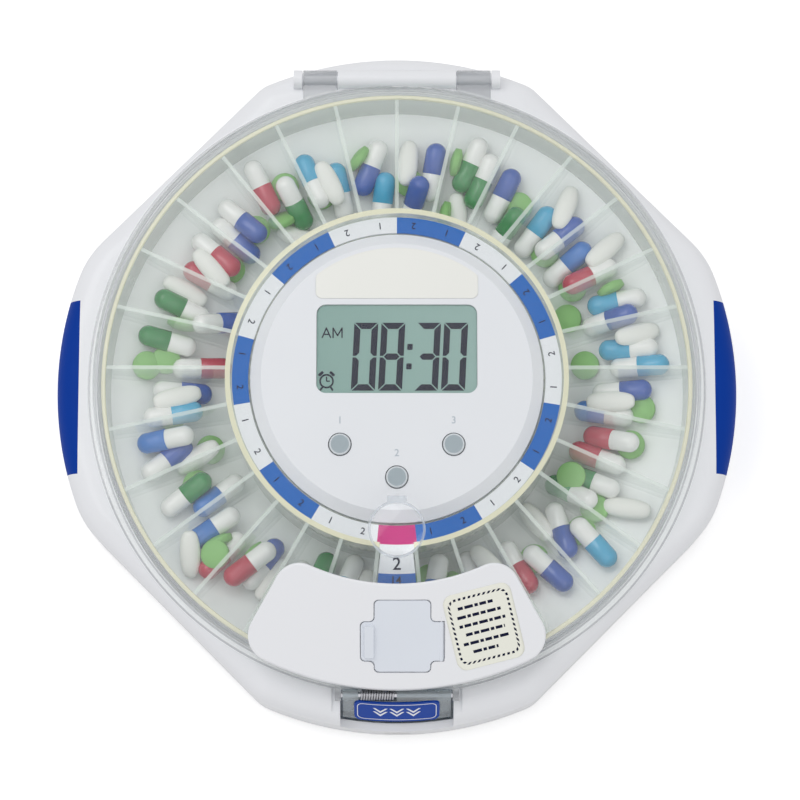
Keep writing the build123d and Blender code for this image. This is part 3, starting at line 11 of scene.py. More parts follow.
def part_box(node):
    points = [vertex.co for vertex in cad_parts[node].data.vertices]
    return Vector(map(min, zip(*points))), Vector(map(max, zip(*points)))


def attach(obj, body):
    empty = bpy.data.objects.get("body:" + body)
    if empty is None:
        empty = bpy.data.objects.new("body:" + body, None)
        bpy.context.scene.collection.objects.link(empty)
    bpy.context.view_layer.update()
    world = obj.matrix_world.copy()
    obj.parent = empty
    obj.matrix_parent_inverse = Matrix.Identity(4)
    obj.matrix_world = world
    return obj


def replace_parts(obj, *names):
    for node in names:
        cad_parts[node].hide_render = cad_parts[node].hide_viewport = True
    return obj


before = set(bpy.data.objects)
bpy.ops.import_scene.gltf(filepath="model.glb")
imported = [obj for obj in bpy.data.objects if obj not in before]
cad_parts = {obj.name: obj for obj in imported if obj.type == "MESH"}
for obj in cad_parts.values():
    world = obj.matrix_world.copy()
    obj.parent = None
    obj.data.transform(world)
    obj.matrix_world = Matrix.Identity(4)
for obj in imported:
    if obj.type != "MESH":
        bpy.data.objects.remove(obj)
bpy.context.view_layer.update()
scene = bpy.context.scene
MM = 0.001

# Camera, in degrees and millimetres: near the vertical over the hub, tipped towards the front
CAMERA_ELEVATION = 80.8
CAMERA_DISTANCE = 1000.0
CAMERA_AIM = (0.99, 1.34)
CAMERA_LENS = 136.2
SENSOR = 36.0
CAMERA_REACH = 20000.0

# Tray: 28 doses and a home place, each between two vanes
PLACES = 29
PITCH = 2 * pi / PLACES
VANE = 1.2
VANE_DROP = 0.5
TRAY_FLOOR = 1.4

# Lid: its side wall, how high its top is over the crown, and how that falls outwards from the crown's radius
LID_GAP = 0.8
LID_SIDE_WALL = 1.6
LID_CEILING = 57.5
LID_SKIN = 2.151
LID_FALL = 0.3961
CROWN = 63.6


def corner(node, end, axis):
    """One coordinate of a node's box, in millimetres: end 0 is the lowest corner, 1 the highest."""
    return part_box(node)[end][axis] / MM


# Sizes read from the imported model, in millimetres
rim_radius = corner("tray_outer_wall", 1, 0)
rim_z = corner("tray_outer_wall", 1, 2)
core_radius = corner("tray_inner_wall", 1, 0)
core_z = corner("tray_inner_wall", 1, 2)
vane_outer = corner("tray_floor", 1, 0)
floor_low = corner("tray_floor", 0, 2)
floor_high = corner("tray_floor", 1, 2)
ring_z = corner("dosage_ring", 1, 2)
screen_z = corner("lcd_module", 1, 2)
hub_z = corner("hub_cap", 1, 2)
flange_radius = corner("lid", 1, 0)
lens_radius = corner("dose_lens", 1, 0)
lens_front = corner("dose_lens", 0, 1)

side_radius = rim_radius + LID_GAP + LID_SIDE_WALL
floor_inner_z = floor_low + TRAY_FLOOR
vane_inner_z = core_z - VANE_DROP
vane_outer_z = rim_z - VANE_DROP


# ---- colours

def srgb(red, green, blue):
    """A colour as it is seen on a screen, turned to the values that a shader takes."""
    channels = [c / 12.92 if c <= 0.04045 else ((c + 0.055) / 1.055) ** 2.4 for c in (red, green, blue)]
    return (*channels, 1.0)


def toned(colour, share):
    """A colour made darker or lighter by a share."""
    return (*(min(1.0, channel * share) for channel in colour[:3]), 1.0)


WHITE = srgb(0.93, 0.935, 0.95)
PURE_WHITE = (1.0, 1.0, 1.0, 1.0)
PAPER_WHITE = srgb(0.94, 0.95, 0.965)
CREAM = srgb(0.92, 0.91, 0.79)
MILKY = srgb(0.93, 0.955, 0.945)
CLEAR = (0.996, 1.0, 0.999, 1.0)
# Grey painted on the edges of clear plastic, as shade
EDGE_SHADE_GREY = srgb(0.7, 0.71, 0.73)
TRAY_TINT = (0.985, 0.995, 0.99, 1.0)
INK = srgb(0.06, 0.08, 0.2)
PRINT_BLUE = srgb(0.0, 0.4, 0.75)
PRINT_MAGENTA = srgb(0.8, 0.05, 0.49)
CAPS = {
    "green": srgb(0.0, 0.52, 0.22),
    "crimson": srgb(0.74, 0.08, 0.24),
    "cyan": srgb(0.12, 0.65, 0.82),
    "blue": srgb(0.0, 0.44, 0.78),
    "royal": srgb(0.0, 0.3, 0.68),
}


# ---- finishes

# Where noise starts and stops to count
NOISE_LOW = 0.3
NOISE_HIGH = 0.7

# Where the lid and the magnifier are less clear, with painted reflection and grey painted shade on their
# edges, in millimetres, and by what share
EDGE_LINE = 0.35
FLANGE_EDGE = (0.1, 0.4)
REFLECTION_MARGIN = 1.5
REFLECTION_FADE = 6.0
SLOPE_REFLECTION = 0.035
SIDE_REFLECTION = 0.18
SIDE_FADE = (2.0, 4.0)
LENS_RIM = (1.0, 0.6)
RIM_SHARE = 0.4
EDGE_SHARE = 0.4
LIGHT_BLOCKED = 0.9

# Top edges of the tray's walls, on the vanes a painted highlight, and where the ring's tab and its blue band
# start, in millimetres
VANE_HIGHLIGHT = (-0.6, -0.2)
WALL_EDGE = (1.2, 0.4)
TAB_START = 1.8
TAB_BAND = 61.4
SEGMENT = 2 * PITCH

# A button's top: the radius of its dish, and that of its rim, which is painted paler as a highlight
BUTTON_DISH = 2.75
BUTTON_RIM = 3.0


class Nodes:
    """A tree of shader nodes under construction."""

    def __init__(self, tree):
        self.tree = tree

    def add(self, kind, settings=None, **sockets):
        """A node; each keyword names a socket, with _ for a space, and holds a value or a node's output."""
        made = self.tree.nodes.new("ShaderNode" + kind)
        for key, value in (settings or {}).items():
            setattr(made, key, value)
        for key, value in sockets.items():
            self.feed(made.inputs[key.replace("_", " ")], value)
        return made

    def feed(self, socket, value):
        """Gives a socket a value, or the output that a value stands for."""
        if isinstance(value, bpy.types.NodeSocket):
            self.tree.links.new(value, socket)
        else:
            socket.default_value = value

    def math(self, operation, *values, clamp=False):
        """The output of a Math node."""
        made = self.add("Math", {"operation": operation, "use_clamp": clamp})
        for socket, value in zip(made.inputs, values):
            self.feed(socket, value)
        return made.outputs[0]

    def mix(self, factor, first, second):
        """The output of a colour mix."""
        made = self.add("Mix", {"data_type": "RGBA"})
        self.feed(made.inputs[0], factor)
        self.feed(made.inputs[6], first)
        self.feed(made.inputs[7], second)
        return made.outputs[2]

    def ramp(self, value, low, high, to_low=0.0, to_high=1.0):
        """Takes a value from one range to another, held at both ends."""
        made = self.add("MapRange", Value=value, From_Min=low, From_Max=high, To_Min=to_low, To_Max=to_high)
        return made.outputs[0]


class Finish(Nodes):
    """A node material under construction."""

    def __init__(self, name):
        self.name = name
        self.material = bpy.data.materials.new(name + "_finish")
        self.material.use_nodes = True
        super().__init__(self.material.node_tree)
        self.shader = self.tree.nodes["Principled BSDF"]

    def blend(self, share, first, second):
        """A mix of two shaders."""
        made = self.add("MixShader", Fac=share)
        self.tree.links.new(first.outputs[0], made.inputs[1])
        self.tree.links.new(second.outputs[0], made.inputs[2])
        return made

    def place(self):
        """The point of the object that is shaded, in metres."""
        return self.add("TexCoord").outputs["Object"]

    def length(self, across, along):
        """How long a step is."""
        squares = [self.math("MULTIPLY", part, part) for part in (across, along)]
        return self.math("SQRT", self.math("ADD", *squares))

    def plan(self):
        """The point that is shaded, across, along and up, and its distance from the tray's axis, in mm."""
        split = self.add("SeparateXYZ", Vector=self.place())
        across, along, height = (self.math("DIVIDE", output, MM) for output in split.outputs)
        return across, along, height, self.length(across, along)

    def noise(self, size, detail=2.0, where=None):
        """Cloudy noise whose blotches are about size millimetres wide."""
        made = self.add("TexNoise", Vector=where or self.place(), Scale=1 / (size * MM), Detail=detail)
        return made.outputs["Fac"]

    def drift(self, size, low, high, detail=2.0):
        """A value that drifts between two limits, in blotches about size millimetres wide."""
        return self.ramp(self.noise(size, detail), NOISE_LOW, NOISE_HIGH, low, high)

    def bump(self, height, depth, strength=1.0):
        """Bumps of a depth in millimetres, on the main shader."""
        made = self.add("Bump", Height=height, Distance=depth * MM, Strength=strength)
        self.feed(self.shader.inputs["Normal"], made.outputs[0])

    def set(self, **sockets):
        """Values or outputs for the main shader's sockets."""
        for key, value in sockets.items():
            self.feed(self.shader.inputs[key.replace("_", " ")], value)

    def show(self, shader):
        """What the material shows."""
        self.tree.links.new(shader.outputs[0], self.tree.nodes["Material Output"].inputs["Surface"])


def moulded(name, colour, roughness, grain, depth, uneven, coat=0.0, shine=0.5):
    """Moulded plastic: faint clouds in its colour and gloss, and the fine grain of its mould."""
    finish = Finish(name)
    clouds = finish.mix(finish.noise(18.0), toned(colour, 1 - uneven), toned(colour, 1 + uneven))
    finish.set(Base_Color=clouds, Roughness=finish.drift(7.0, roughness * 0.94, roughness * 1.06, 3.0))
    finish.set(Specular_IOR_Level=shine, Coat_Weight=coat, Coat_Roughness=0.08)
    finish.bump(finish.noise(grain, 4.0), depth)
    return finish


def metal(name, colour, roughness, streak=0.15):
    """Bright metal, drawn or ground along X."""
    finish = Finish(name)
    where = finish.add("Mapping", Vector=finish.place(), Scale=(0.05, 1.0, 1.0)).outputs[0]
    lines = finish.noise(0.3, 3.0, where)
    finish.set(Base_Color=finish.mix(lines, toned(colour, 1 - streak), colour), Metallic=1.0)
    finish.set(Roughness=finish.ramp(lines, 0.2, 0.8, roughness * 0.7, roughness * 1.3))
    finish.bump(lines, 0.005)
    return finish


def let_light_by(finish):
    """1 for what is seen, near 0 for the light that comes through from the lamps and the room."""
    path = finish.add("LightPath")
    light = finish.math("MAXIMUM", path.outputs["Is Shadow Ray"], path.outputs["Is Diffuse Ray"])
    return finish.math("SUBTRACT", 1.0, finish.math("MULTIPLY", light, LIGHT_BLOCKED))


def see_through(name, gloss, roughness, colour=CLEAR, painted_reflection=None, grey=None, bend=1.4):
    """Thin clear plastic: light goes straight through, but for a share of gloss.

    The first mask gives a further share, a painted reflection that whitens the plastic, and the second is 1
    where an edge is painted grey as shade.
    """
    finish = Finish(name)
    share = finish.drift(9.0, gloss * 0.9, gloss * 1.1, 3.0)
    tint = finish.mix(finish.noise(30.0), colour, toned(colour, 0.99))
    body = tint
    # Painted reflection: a further share of whitish gloss where the lid should look hazy with reflections
    if painted_reflection is not None:
        share = finish.math("ADD", share, painted_reflection(finish))
    # Painted shade: grey lines on the edges, which are also made less clear
    if grey is not None:
        amount = grey(finish)
        share = finish.math("ADD", share, finish.math("MULTIPLY", amount, EDGE_SHARE))
        body = finish.mix(amount, tint, EDGE_SHADE_GREY)
    outside = finish.math("SUBTRACT", 1.0, finish.add("NewGeometry").outputs["Backfacing"])
    grazing = finish.math("MULTIPLY", finish.add("Fresnel", IOR=bend).outputs[0], outside)
    share = finish.math("MAXIMUM", share, grazing, clamp=True)
    share = finish.math("MULTIPLY", share, let_light_by(finish))
    finish.set(Base_Color=body, Roughness=roughness, Coat_Weight=1.0, Coat_Roughness=0.02)
    finish.bump(finish.noise(26.0), 0.01, 0.3)
    finish.show(finish.blend(share, finish.add("BsdfTransparent", Color=tint), finish.shader))
    return finish


def lid_haze(finish):
    """How much painted reflection whitens the lid: none over the hub and its ring, more down its slope and on
    its side wall.
    """
    _, _, height, radius = finish.plan()
    start = REFLECTION_MARGIN - lens_front
    slope = finish.ramp(radius, start, start + REFLECTION_FADE, 0.0, SLOPE_REFLECTION)
    side = finish.ramp(height, *(rim_z + rise for rise in SIDE_FADE), SIDE_REFLECTION, 0.0)
    return finish.math("MAXIMUM", slope, side)


def lid_edges(finish):
    """1 where grey painted shade marks the edges of the lid's flange and side wall, and on the hinge tabs and
    latch ears past them.
    """
    radius = finish.plan()[3]
    lines = finish.ramp(radius, *(flange_radius + past for past in FLANGE_EDGE))
    for edge in (flange_radius - EDGE_LINE, side_radius, rim_radius + LID_GAP):
        near = finish.math("ABSOLUTE", finish.math("SUBTRACT", radius, edge))
        lines = finish.math("MAXIMUM", lines, finish.ramp(near, EDGE_LINE / 2, EDGE_LINE, 1.0, 0.0))
    return lines


def lens_rim(finish):
    """1 on the rim of the magnifier, where painted shade and highlight go, 0 inside it."""
    across, along, _, _ = finish.plan()
    away = finish.length(across, finish.math("SUBTRACT", along, lens_front + lens_radius))
    return finish.ramp(away, *(lens_radius - inset for inset in LENS_RIM))


def magnifier(name):
    """Clear plastic that bends what is seen through it, with its rim painted a glossy cloudy grey as shade
    and highlight.
    """
    finish = Finish(name)
    finish.set(Base_Color=CLEAR, Transmission_Weight=1.0, IOR=1.45, Roughness=finish.drift(4.0, 0.0, 0.02))
    # Painted shade and highlight on the rim: a glossy cloudy grey
    clouds = finish.mix(finish.noise(3.0), srgb(0.78, 0.81, 0.85), srgb(0.84, 0.87, 0.9))
    rim = finish.add("BsdfPrincipled", Roughness=0.1, Base_Color=clouds)
    edged = finish.blend(finish.math("MULTIPLY", lens_rim(finish), RIM_SHARE), finish.shader, rim)
    shadow = finish.add("LightPath").outputs["Is Shadow Ray"]
    finish.show(finish.blend(shadow, edged, finish.add("BsdfTransparent", Color=CLEAR)))
    return finish


def frosted(name, colour, cover, roughness, edge=None, edge_colour=None, edge_cover=0.0):
    """Translucent moulding: partly clear, partly milky and glossy; its top edge may be drawn less clear in
    another colour, which on the vanes is a painted highlight.
    """
    finish = Finish(name)
    milky = finish.mix(finish.noise(14.0), toned(colour, 0.96), colour)
    opaque = finish.drift(25.0, cover - 0.05, cover + 0.05)
    if edge is not None:
        amount = edge(finish)
        milky = finish.mix(amount, milky, edge_colour)
        opaque = finish.math("MAXIMUM", opaque, finish.math("MULTIPLY", amount, edge_cover))
    opaque = finish.math("MULTIPLY", opaque, let_light_by(finish))
    finish.set(Base_Color=milky, Roughness=roughness, Coat_Weight=0.3, Coat_Roughness=0.05)
    finish.bump(finish.noise(3.0), 0.01, 0.5)
    finish.show(finish.blend(opaque, finish.add("BsdfTransparent", Color=TRAY_TINT), finish.shader))
    return finish


def vane_edge(finish):
    """1 on the top edges of the vanes, where a paler painted highlight goes, 0 below them."""
    _, _, height, radius = finish.plan()
    top = finish.ramp(radius, core_radius, vane_outer, vane_inner_z, vane_outer_z)
    return finish.ramp(finish.math("SUBTRACT", height, top), *VANE_HIGHLIGHT)


def wall_edge(top):
    """1 on the top edge of a wall of the tray, a quarter below it."""
    def mask(finish):
        height = finish.plan()[2]
        return finish.ramp(height, *(top - drop for drop in WALL_EDGE), 0.25, 1.0)
    return mask


def ring_print():
    """The number ring: white and blue cells of two places, a magenta home cell, and the tab's two fields."""
    finish = Finish("ring_print")
    across, along, _, radius = finish.plan()
    turn = finish.math("ARCTAN2", across, finish.math("MULTIPLY", along, -1.0))
    turn = finish.math("WRAP", finish.math("SUBTRACT", turn, PITCH / 2), 2 * pi, 0.0)
    cell = finish.math("FLOOR", finish.math("DIVIDE", turn, SEGMENT))
    blue = finish.math("LESS_THAN", finish.math("MODULO", cell, 2.0), 0.5)
    home = finish.math("GREATER_THAN", turn, 2 * pi - PITCH)
    colour = finish.mix(blue, PAPER_WHITE, PRINT_BLUE)
    colour = finish.mix(home, colour, PRINT_MAGENTA)
    on_tab = finish.math("GREATER_THAN", radius, core_radius - TAB_START)
    band = finish.math("GREATER_THAN", radius, TAB_BAND)
    colour = finish.mix(on_tab, colour, finish.mix(band, PAPER_WHITE, PRINT_BLUE))
    speckle = finish.drift(0.5, 0.94, 1.0, 3.0)
    shade = finish.add("VectorMath", {"operation": "SCALE"}, Vector=colour, Scale=speckle).outputs[0]
    finish.set(Base_Color=shade, Roughness=0.3, Specular_IOR_Level=0.15)
    finish.set(Coat_Weight=0.1, Coat_Roughness=0.08)
    finish.bump(finish.noise(0.8), 0.005)
    return finish


def screen():
    """Grey-green liquid crystal, a little lighter to one side, under a satin film."""
    finish = Finish("screen")
    slope = finish.ramp(finish.plan()[0], -25.0, 25.0)
    colour = finish.mix(slope, srgb(0.52, 0.655, 0.625), srgb(0.57, 0.69, 0.665))
    grained = finish.mix(finish.drift(0.2, 0.0, 0.05, 1.0), colour, srgb(0.5, 0.6, 0.6))
    finish.set(Base_Color=grained, Roughness=0.45)
    return finish


def button_top(node):
    """A grey button: its dished middle darker, its rim painted paler as a highlight on the rounded edge."""
    low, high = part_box(node)
    finish = Finish(node)
    across, along, _, _ = finish.plan()
    away = finish.length(finish.math("SUBTRACT", across, (low.x + high.x) / 2 / MM),
                         finish.math("SUBTRACT", along, (low.y + high.y) / 2 / MM))
    # Painted highlight: the rim drawn paler than the dished middle
    rim = finish.ramp(away, BUTTON_DISH, BUTTON_RIM)
    finish.set(Base_Color=finish.mix(rim, srgb(0.62, 0.67, 0.7), srgb(0.84, 0.86, 0.88)))
    finish.set(Roughness=finish.drift(1.0, 0.35, 0.5))
    finish.bump(finish.noise(0.3, 3.0), 0.01)
    return finish


def circuit_board():
    """Green lacquer over a faint pattern of tracks."""
    finish = Finish("board")
    tracks = finish.add(
        "TexBrick", Vector=finish.place(), Scale=120.0, Mortar_Size=0.06,
        Color1=srgb(0.05, 0.36, 0.2), Color2=srgb(0.06, 0.4, 0.22), Mortar=srgb(0.1, 0.48, 0.28))
    finish.set(Base_Color=tracks.outputs["Color"], Roughness=0.35, Coat_Weight=0.5)
    finish.bump(tracks.outputs["Fac"], 0.03)
    return finish


# Mouldings and prints: colour, roughness, width and depth of the grain in mm, unevenness, clear coat, shine
MOULDED = {
    "shell": (WHITE, 0.32, 0.5, 0.004, 0.008, 0.2),
    "hub": (srgb(0.925, 0.93, 0.95), 0.3, 0.5, 0.003, 0.006, 0.2),
    "pearl": (srgb(0.955, 0.95, 0.93), 0.2, 0.8, 0.003, 0.006, 0.5),
    "deck_white": (srgb(0.9, 0.905, 0.92), 0.45, 0.4, 0.015, 0.03),
    "grip": (srgb(0.0, 0.22, 0.6), 0.5, 0.35, 0.03, 0.06, 0.0, 0.1),
    "outlet_cover": (srgb(0.94, 0.945, 0.96), 0.36, 0.5, 0.0015, 0.004, 0.12),
    "flap": (srgb(0.89, 0.91, 0.945), 0.25, 0.5, 0.006, 0.02, 0.4),
    "gear": (srgb(0.88, 0.87, 0.82), 0.35, 0.5, 0.01, 0.03),
    "dark_plastic": (srgb(0.09, 0.09, 0.1), 0.4, 0.5, 0.015, 0.1),
    "cell": (srgb(0.13, 0.2, 0.32), 0.3, 1.0, 0.005, 0.05, 0.4),
    "label": (srgb(0.0, 0.25, 0.64), 0.35, 0.6, 0.004, 0.04, 0.0, 0.15),
    "foot_rubber": (srgb(0.2, 0.2, 0.21), 0.75, 0.4, 0.04, 0.1),
    "print_ink": (INK, 0.5, 0.5, 0.002, 0.05, 0.0, 0.1),
    "print_white": (srgb(0.93, 0.94, 0.96), 0.5, 0.5, 0.002, 0.02),
    "print_grey": (srgb(0.72, 0.75, 0.79), 0.5, 0.5, 0.002, 0.03),
    "segment_ink": (srgb(0.04, 0.06, 0.17), 0.35, 0.3, 0.002, 0.08, 0.0, 0.05),
    "sticker_paper": (srgb(0.95, 0.95, 0.905), 0.45, 0.4, 0.004, 0.01),
    "gelatin_white": (srgb(0.95, 0.95, 0.94), 0.15, 2.0, 0.01, 0.015, 0.6),
    "tablet_green": (srgb(0.52, 0.75, 0.42), 0.5, 0.4, 0.02, 0.04),
    "tablet_white": (srgb(0.95, 0.95, 0.93), 0.5, 0.4, 0.02, 0.02),
}
MOULDED |= {"gelatin_" + name: (colour, 0.15, 2.0, 0.01, 0.03, 0.6) for name, colour in CAPS.items()}

# Metals: colour, roughness, and how dark their streaks are
METALS = {
    "motor_metal": (srgb(0.78, 0.78, 0.8), 0.32),
    "steel": (srgb(0.84, 0.84, 0.86), 0.2),
    "spring_steel": (srgb(0.7, 0.7, 0.72), 0.3),
    "nickel": (srgb(0.86, 0.84, 0.8), 0.25, 0.1),
}

# The finish of each node of the model; each button has one of its own
BUTTONS = ("button_left", "button_front", "button_right")
WORN_BY = {
    "shell": "base_shell",
    "grip": "grip_strip_left grip_strip_right",
    "deck_white": "well_pan glide_ring bottom_cover battery_door motor_plate",
    "cell": "battery_cells",
    "nickel": "battery_contacts lock_cylinder",
    "hub": "hub_housing hub_cap hinge_pins",
    "pearl": "fascia_plate",
    "screen": "lcd_module",
    "screen_lens": "display_lens",
    "board": "main_board",
    "dark_plastic": "tact_switches buzzer home_switch power_jack",
    "motor_metal": "gear_motor",
    "foot_rubber": "feet",
    "steel": "pan_screws cover_screws board_screws motor_screws door_screw flap_pin latch_pin pinion_shaft",
    "clear_lid": "lid",
    "clear_lens": "dose_lens",
    "outlet_cover": "hopper_cover dispensing_chute",
    "clear_latch": "latch_lever",
    "label": "press_label",
    "flap": "dispensing_flap",
    "tray_floor": "tray_floor",
    "tray_rim": "tray_outer_wall",
    "tray_core": "tray_inner_wall",
    "tray_vanes": "tray_dividers",
    "ring_print": "dosage_ring",
    "gear": "tray_ring_gear drive_pinion",
    "spring_steel": "latch_spring",
}


def finishes():
    """Every finish by name."""
    made = [moulded(name, *looks) for name, looks in MOULDED.items()]
    made += [metal(name, *looks) for name, looks in METALS.items()]
    made += [button_top(node) for node in BUTTONS]
    # Frosted: colour, cover and roughness, then the mask of a top edge drawn less clear, its colour and its
    # cover; on the vanes that edge is a painted highlight
    made += [
        see_through("clear_lid", gloss=0.028, roughness=0.04, painted_reflection=lid_haze, grey=lid_edges),
        see_through("clear_latch", gloss=0.3, roughness=0.12, colour=srgb(0.9, 0.92, 0.93)),
        see_through("screen_lens", gloss=0.008, roughness=0.03, bend=1.18),
        magnifier("clear_lens"),
        # Vanes: their top edge painted paler and less clear, as a highlight
        frosted("tray_vanes", MILKY, 0.24, 0.08, vane_edge, srgb(0.91, 0.945, 0.92), 0.52),
        frosted("tray_floor", srgb(0.98, 0.99, 0.985), 0.95, 0.22),
        frosted("tray_rim", MILKY, 0.55, 0.12, wall_edge(rim_z), CREAM, 0.92),
        frosted("tray_core", MILKY, 0.45, 0.12, wall_edge(core_z), CREAM, 0.92),
        ring_print(),
        screen(),
        circuit_board(),
    ]
    return {item.name: item.material for item in made}


finish_of = finishes()


def dress():
    """Gives each node of the model its finish."""
    worn = {node: name for name, nodes in WORN_BY.items() for node in nodes.split()}
    for name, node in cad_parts.items():
        node.data.materials.clear()
        node.data.materials.append(finish_of[worn.get(name, name)])


# ---- pieces

# How near corners are joined, in metres; how much letters are thickened; how round a stroke's ends are
JOIN = 1e-7
BOLD = 0.008
STROKE_CORNER = 0.45


def put(name, data):
    """An object in the scene."""
    made = bpy.data.objects.new(name, data)
    scene.collection.objects.link(made)
    return made


def piece(name, mesh, body, finish_name, slot=None):
    """A piece that rides on a body."""
    mesh.materials.clear()
    mesh.materials.append(finish_of[finish_name])
    made = put(name, mesh)
    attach(made, body)
    return made


def shaded(mesh, smooth):
    """The mesh, shaded smooth or flat."""
    for polygon in mesh.polygons:
        polygon.use_smooth = smooth
    return mesh


def closed(name, bm, smooth=False):
    """A mesh from a bmesh: corners joined, normals outward."""
    bmesh.ops.remove_doubles(bm, verts=bm.verts, dist=JOIN)
    bmesh.ops.recalc_face_normals(bm, faces=bm.faces)
    mesh = bpy.data.meshes.new(name)
    bm.to_mesh(mesh)
    bm.free()
    return shaded(mesh, smooth)


def sides(points):
    """Each side of an outline, as its two ends."""
    return list(zip(points, points[1:] + points[:1]))


def dot(bm, x, y, z):
    """A corner in millimetres."""
    return bm.verts.new((x * MM, y * MM, z * MM))


def skin(bm, bottom, top):
    """Faces on two loops of corners, and walls between them."""
    bm.faces.new(reversed(bottom))
    bm.faces.new(top)
    for (a, b), (d, c) in zip(sides(bottom), sides(top)):
        bm.faces.new((a, b, c, d))


def prism(bm, points, low, high):
    """A flat outline in millimetres made solid from low to high; either may be a function of x and y."""
    skin(bm, *([dot(bm, x, y, level(x, y) if callable(level) else level) for x, y in points]
               for level in (low, high)))


def cut_out(name, outlines, low, high, *riding):
    """Flat outlines made solid, as one piece; riding is its body, its finish and its slot, which is not used.
    """
    bm = bmesh.new()
    for points in outlines:
        prism(bm, points, low, high)
    piece(name, closed(name, bm), *riding)


def rounded(width, height, radius, steps=5):
    """The outline of a rounded rectangle round the origin."""
    points = []
    for quarter, (sx, sy) in enumerate(((1, 1), (-1, 1), (-1, -1), (1, -1))):
        for step in range(steps + 1):
            angle = (quarter + step / steps) * pi / 2
            points.append((sx * (width / 2 - radius) + radius * cos(angle),
                           sy * (height / 2 - radius) + radius * sin(angle)))
    return points


def circle(radius, centre, steps=28):
    """Points of a circle."""
    return [(centre[0] + radius * cos(2 * pi * i / steps), centre[1] + radius * sin(2 * pi * i / steps))
            for i in range(steps)]


def moved(points, dx=0.0, dy=0.0, turn=0.0):
    """Points turned by an angle in radians and then shifted."""
    return [(dx + x * cos(turn) - y * sin(turn), dy + x * sin(turn) + y * cos(turn)) for x, y in points]


def between(start, end, share):
    """A point part of the way from one point to another."""
    return (start[0] + (end[0] - start[0]) * share, start[1] + (end[1] - start[1]) * share)


def span(start, end):
    """The distance between two points."""
    return hypot(end[0] - start[0], end[1] - start[1])


def frame_strip(outer, inner):
    """The parts of a flat frame between two outlines with the same number of points."""
    return [(a, b, c, d) for (a, b), (d, c) in zip(sides(outer), sides(inner))]


def stroke(start, end, width):
    """A straight stroke with rounded ends between two points."""
    bar = rounded(span(start, end) + width, width, width * STROKE_CORNER, 2)
    turn = atan2(end[1] - start[1], end[0] - start[0])
    return moved(bar, *between(start, end, 0.5), turn)


def lettering(text, size, thickness):
    """Plain figures as a solid mesh, centred on the origin."""
    curve = bpy.data.curves.new("lettering", "FONT")
    curve.body = text
    curve.size = size * MM
    curve.extrude = thickness * MM / 2
    curve.align_x = "CENTER"
    curve.align_y = "CENTER"
    curve.resolution_u = 4
    curve.offset = size * BOLD * MM
    holder = put("lettering", curve)
    mesh = bpy.data.meshes.new_from_object(holder.evaluated_get(bpy.context.evaluated_depsgraph_get()))
    bpy.data.objects.remove(holder)
    bm = bmesh.new()
    bm.from_mesh(mesh)
    bmesh.ops.remove_doubles(bm, verts=bm.verts, dist=JOIN)
    middle = [(min(row) + max(row)) / 2 for row in zip(*(vertex.co.xy for vertex in bm.verts))]
    bmesh.ops.translate(bm, verts=bm.verts, vec=(-middle[0], -middle[1], 0.0))
    bmesh.ops.recalc_face_normals(bm, faces=bm.faces)
    bm.to_mesh(mesh)
    bm.free()
    return mesh


def placed(mesh, matrix):
    """The mesh moved by a matrix."""
    mesh.transform(matrix)
    return mesh


# ---- repeated pieces, grown by geometry nodes

def new_group(name, inputs):
    """A geometry node group with its inputs: a name and a kind of socket each."""
    tree = bpy.data.node_groups.new(name, "GeometryNodeTree")
    for key, kind in {"Geometry": "Geometry", **inputs, "Finish": "Material"}.items():
        tree.interface.new_socket(key, in_out="INPUT", socket_type="NodeSocket" + kind)
    tree.interface.new_socket("Geometry", in_out="OUTPUT", socket_type="NodeSocketGeometry")
    return tree, tree.nodes.new("NodeGroupInput")


def link_up(tree, *pairs):
    """Links outputs to inputs; each end is a node and the name of its socket."""
    for (start, output), (end, entrance) in pairs:
        tree.links.new(start.outputs[output], end.inputs[entrance])


def end_group(tree, entry, shape):
    """Ends a group: what it has grown made real, and its finish put on."""
    real = tree.nodes.new("GeometryNodeRealizeInstances")
    paint = tree.nodes.new("GeometryNodeSetMaterial")
    way_out = tree.nodes.new("NodeGroupOutput")
    link_up(tree, (shape, (real, "Geometry")), ((real, "Geometry"), (paint, "Geometry")),
            ((entry, "Finish"), (paint, "Material")), ((paint, "Geometry"), (way_out, "Geometry")))
    return tree


def grown(name, mesh, tree, inputs):
    """The plain mesh that a geometry node group makes from a mesh."""
    holder = put(name, mesh)
    modifier = holder.modifiers.new("grow", "NODES")
    modifier.node_group = tree
    for item in tree.interface.items_tree:
        if item.name in inputs:
            modifier[item.identifier] = inputs[item.name]
    holder.update_tag()
    graph = bpy.context.evaluated_depsgraph_get()
    graph.update()
    made = bpy.data.meshes.new_from_object(holder.evaluated_get(graph), depsgraph=graph)
    bpy.data.objects.remove(holder)
    made.name = name
    return made


def scatter_group():
    """Puts a shape on every point, turned by the point's own turn."""
    tree, entry = new_group("scatter", {"Shape": "Object"})
    shape = tree.nodes.new("GeometryNodeObjectInfo")
    turn = tree.nodes.new("GeometryNodeInputNamedAttribute")
    turn.data_type = "FLOAT_VECTOR"
    turn.inputs["Name"].default_value = "turn"
    to_turn = tree.nodes.new("FunctionNodeEulerToRotation")
    points = tree.nodes.new("GeometryNodeMeshToPoints")
    spread = tree.nodes.new("GeometryNodeInstanceOnPoints")
    link_up(
        tree,
        ((entry, "Geometry"), (points, "Mesh")),
        ((entry, "Shape"), (shape, "Object")),
        ((points, "Points"), (spread, "Points")),
        ((shape, "Geometry"), (spread, "Instance")),
        ((turn, "Attribute"), (to_turn, "Euler")),
        ((to_turn, "Rotation"), (spread, "Rotation")))
    return end_group(tree, entry, (spread, "Instances"))


scatter_tree = scatter_group()


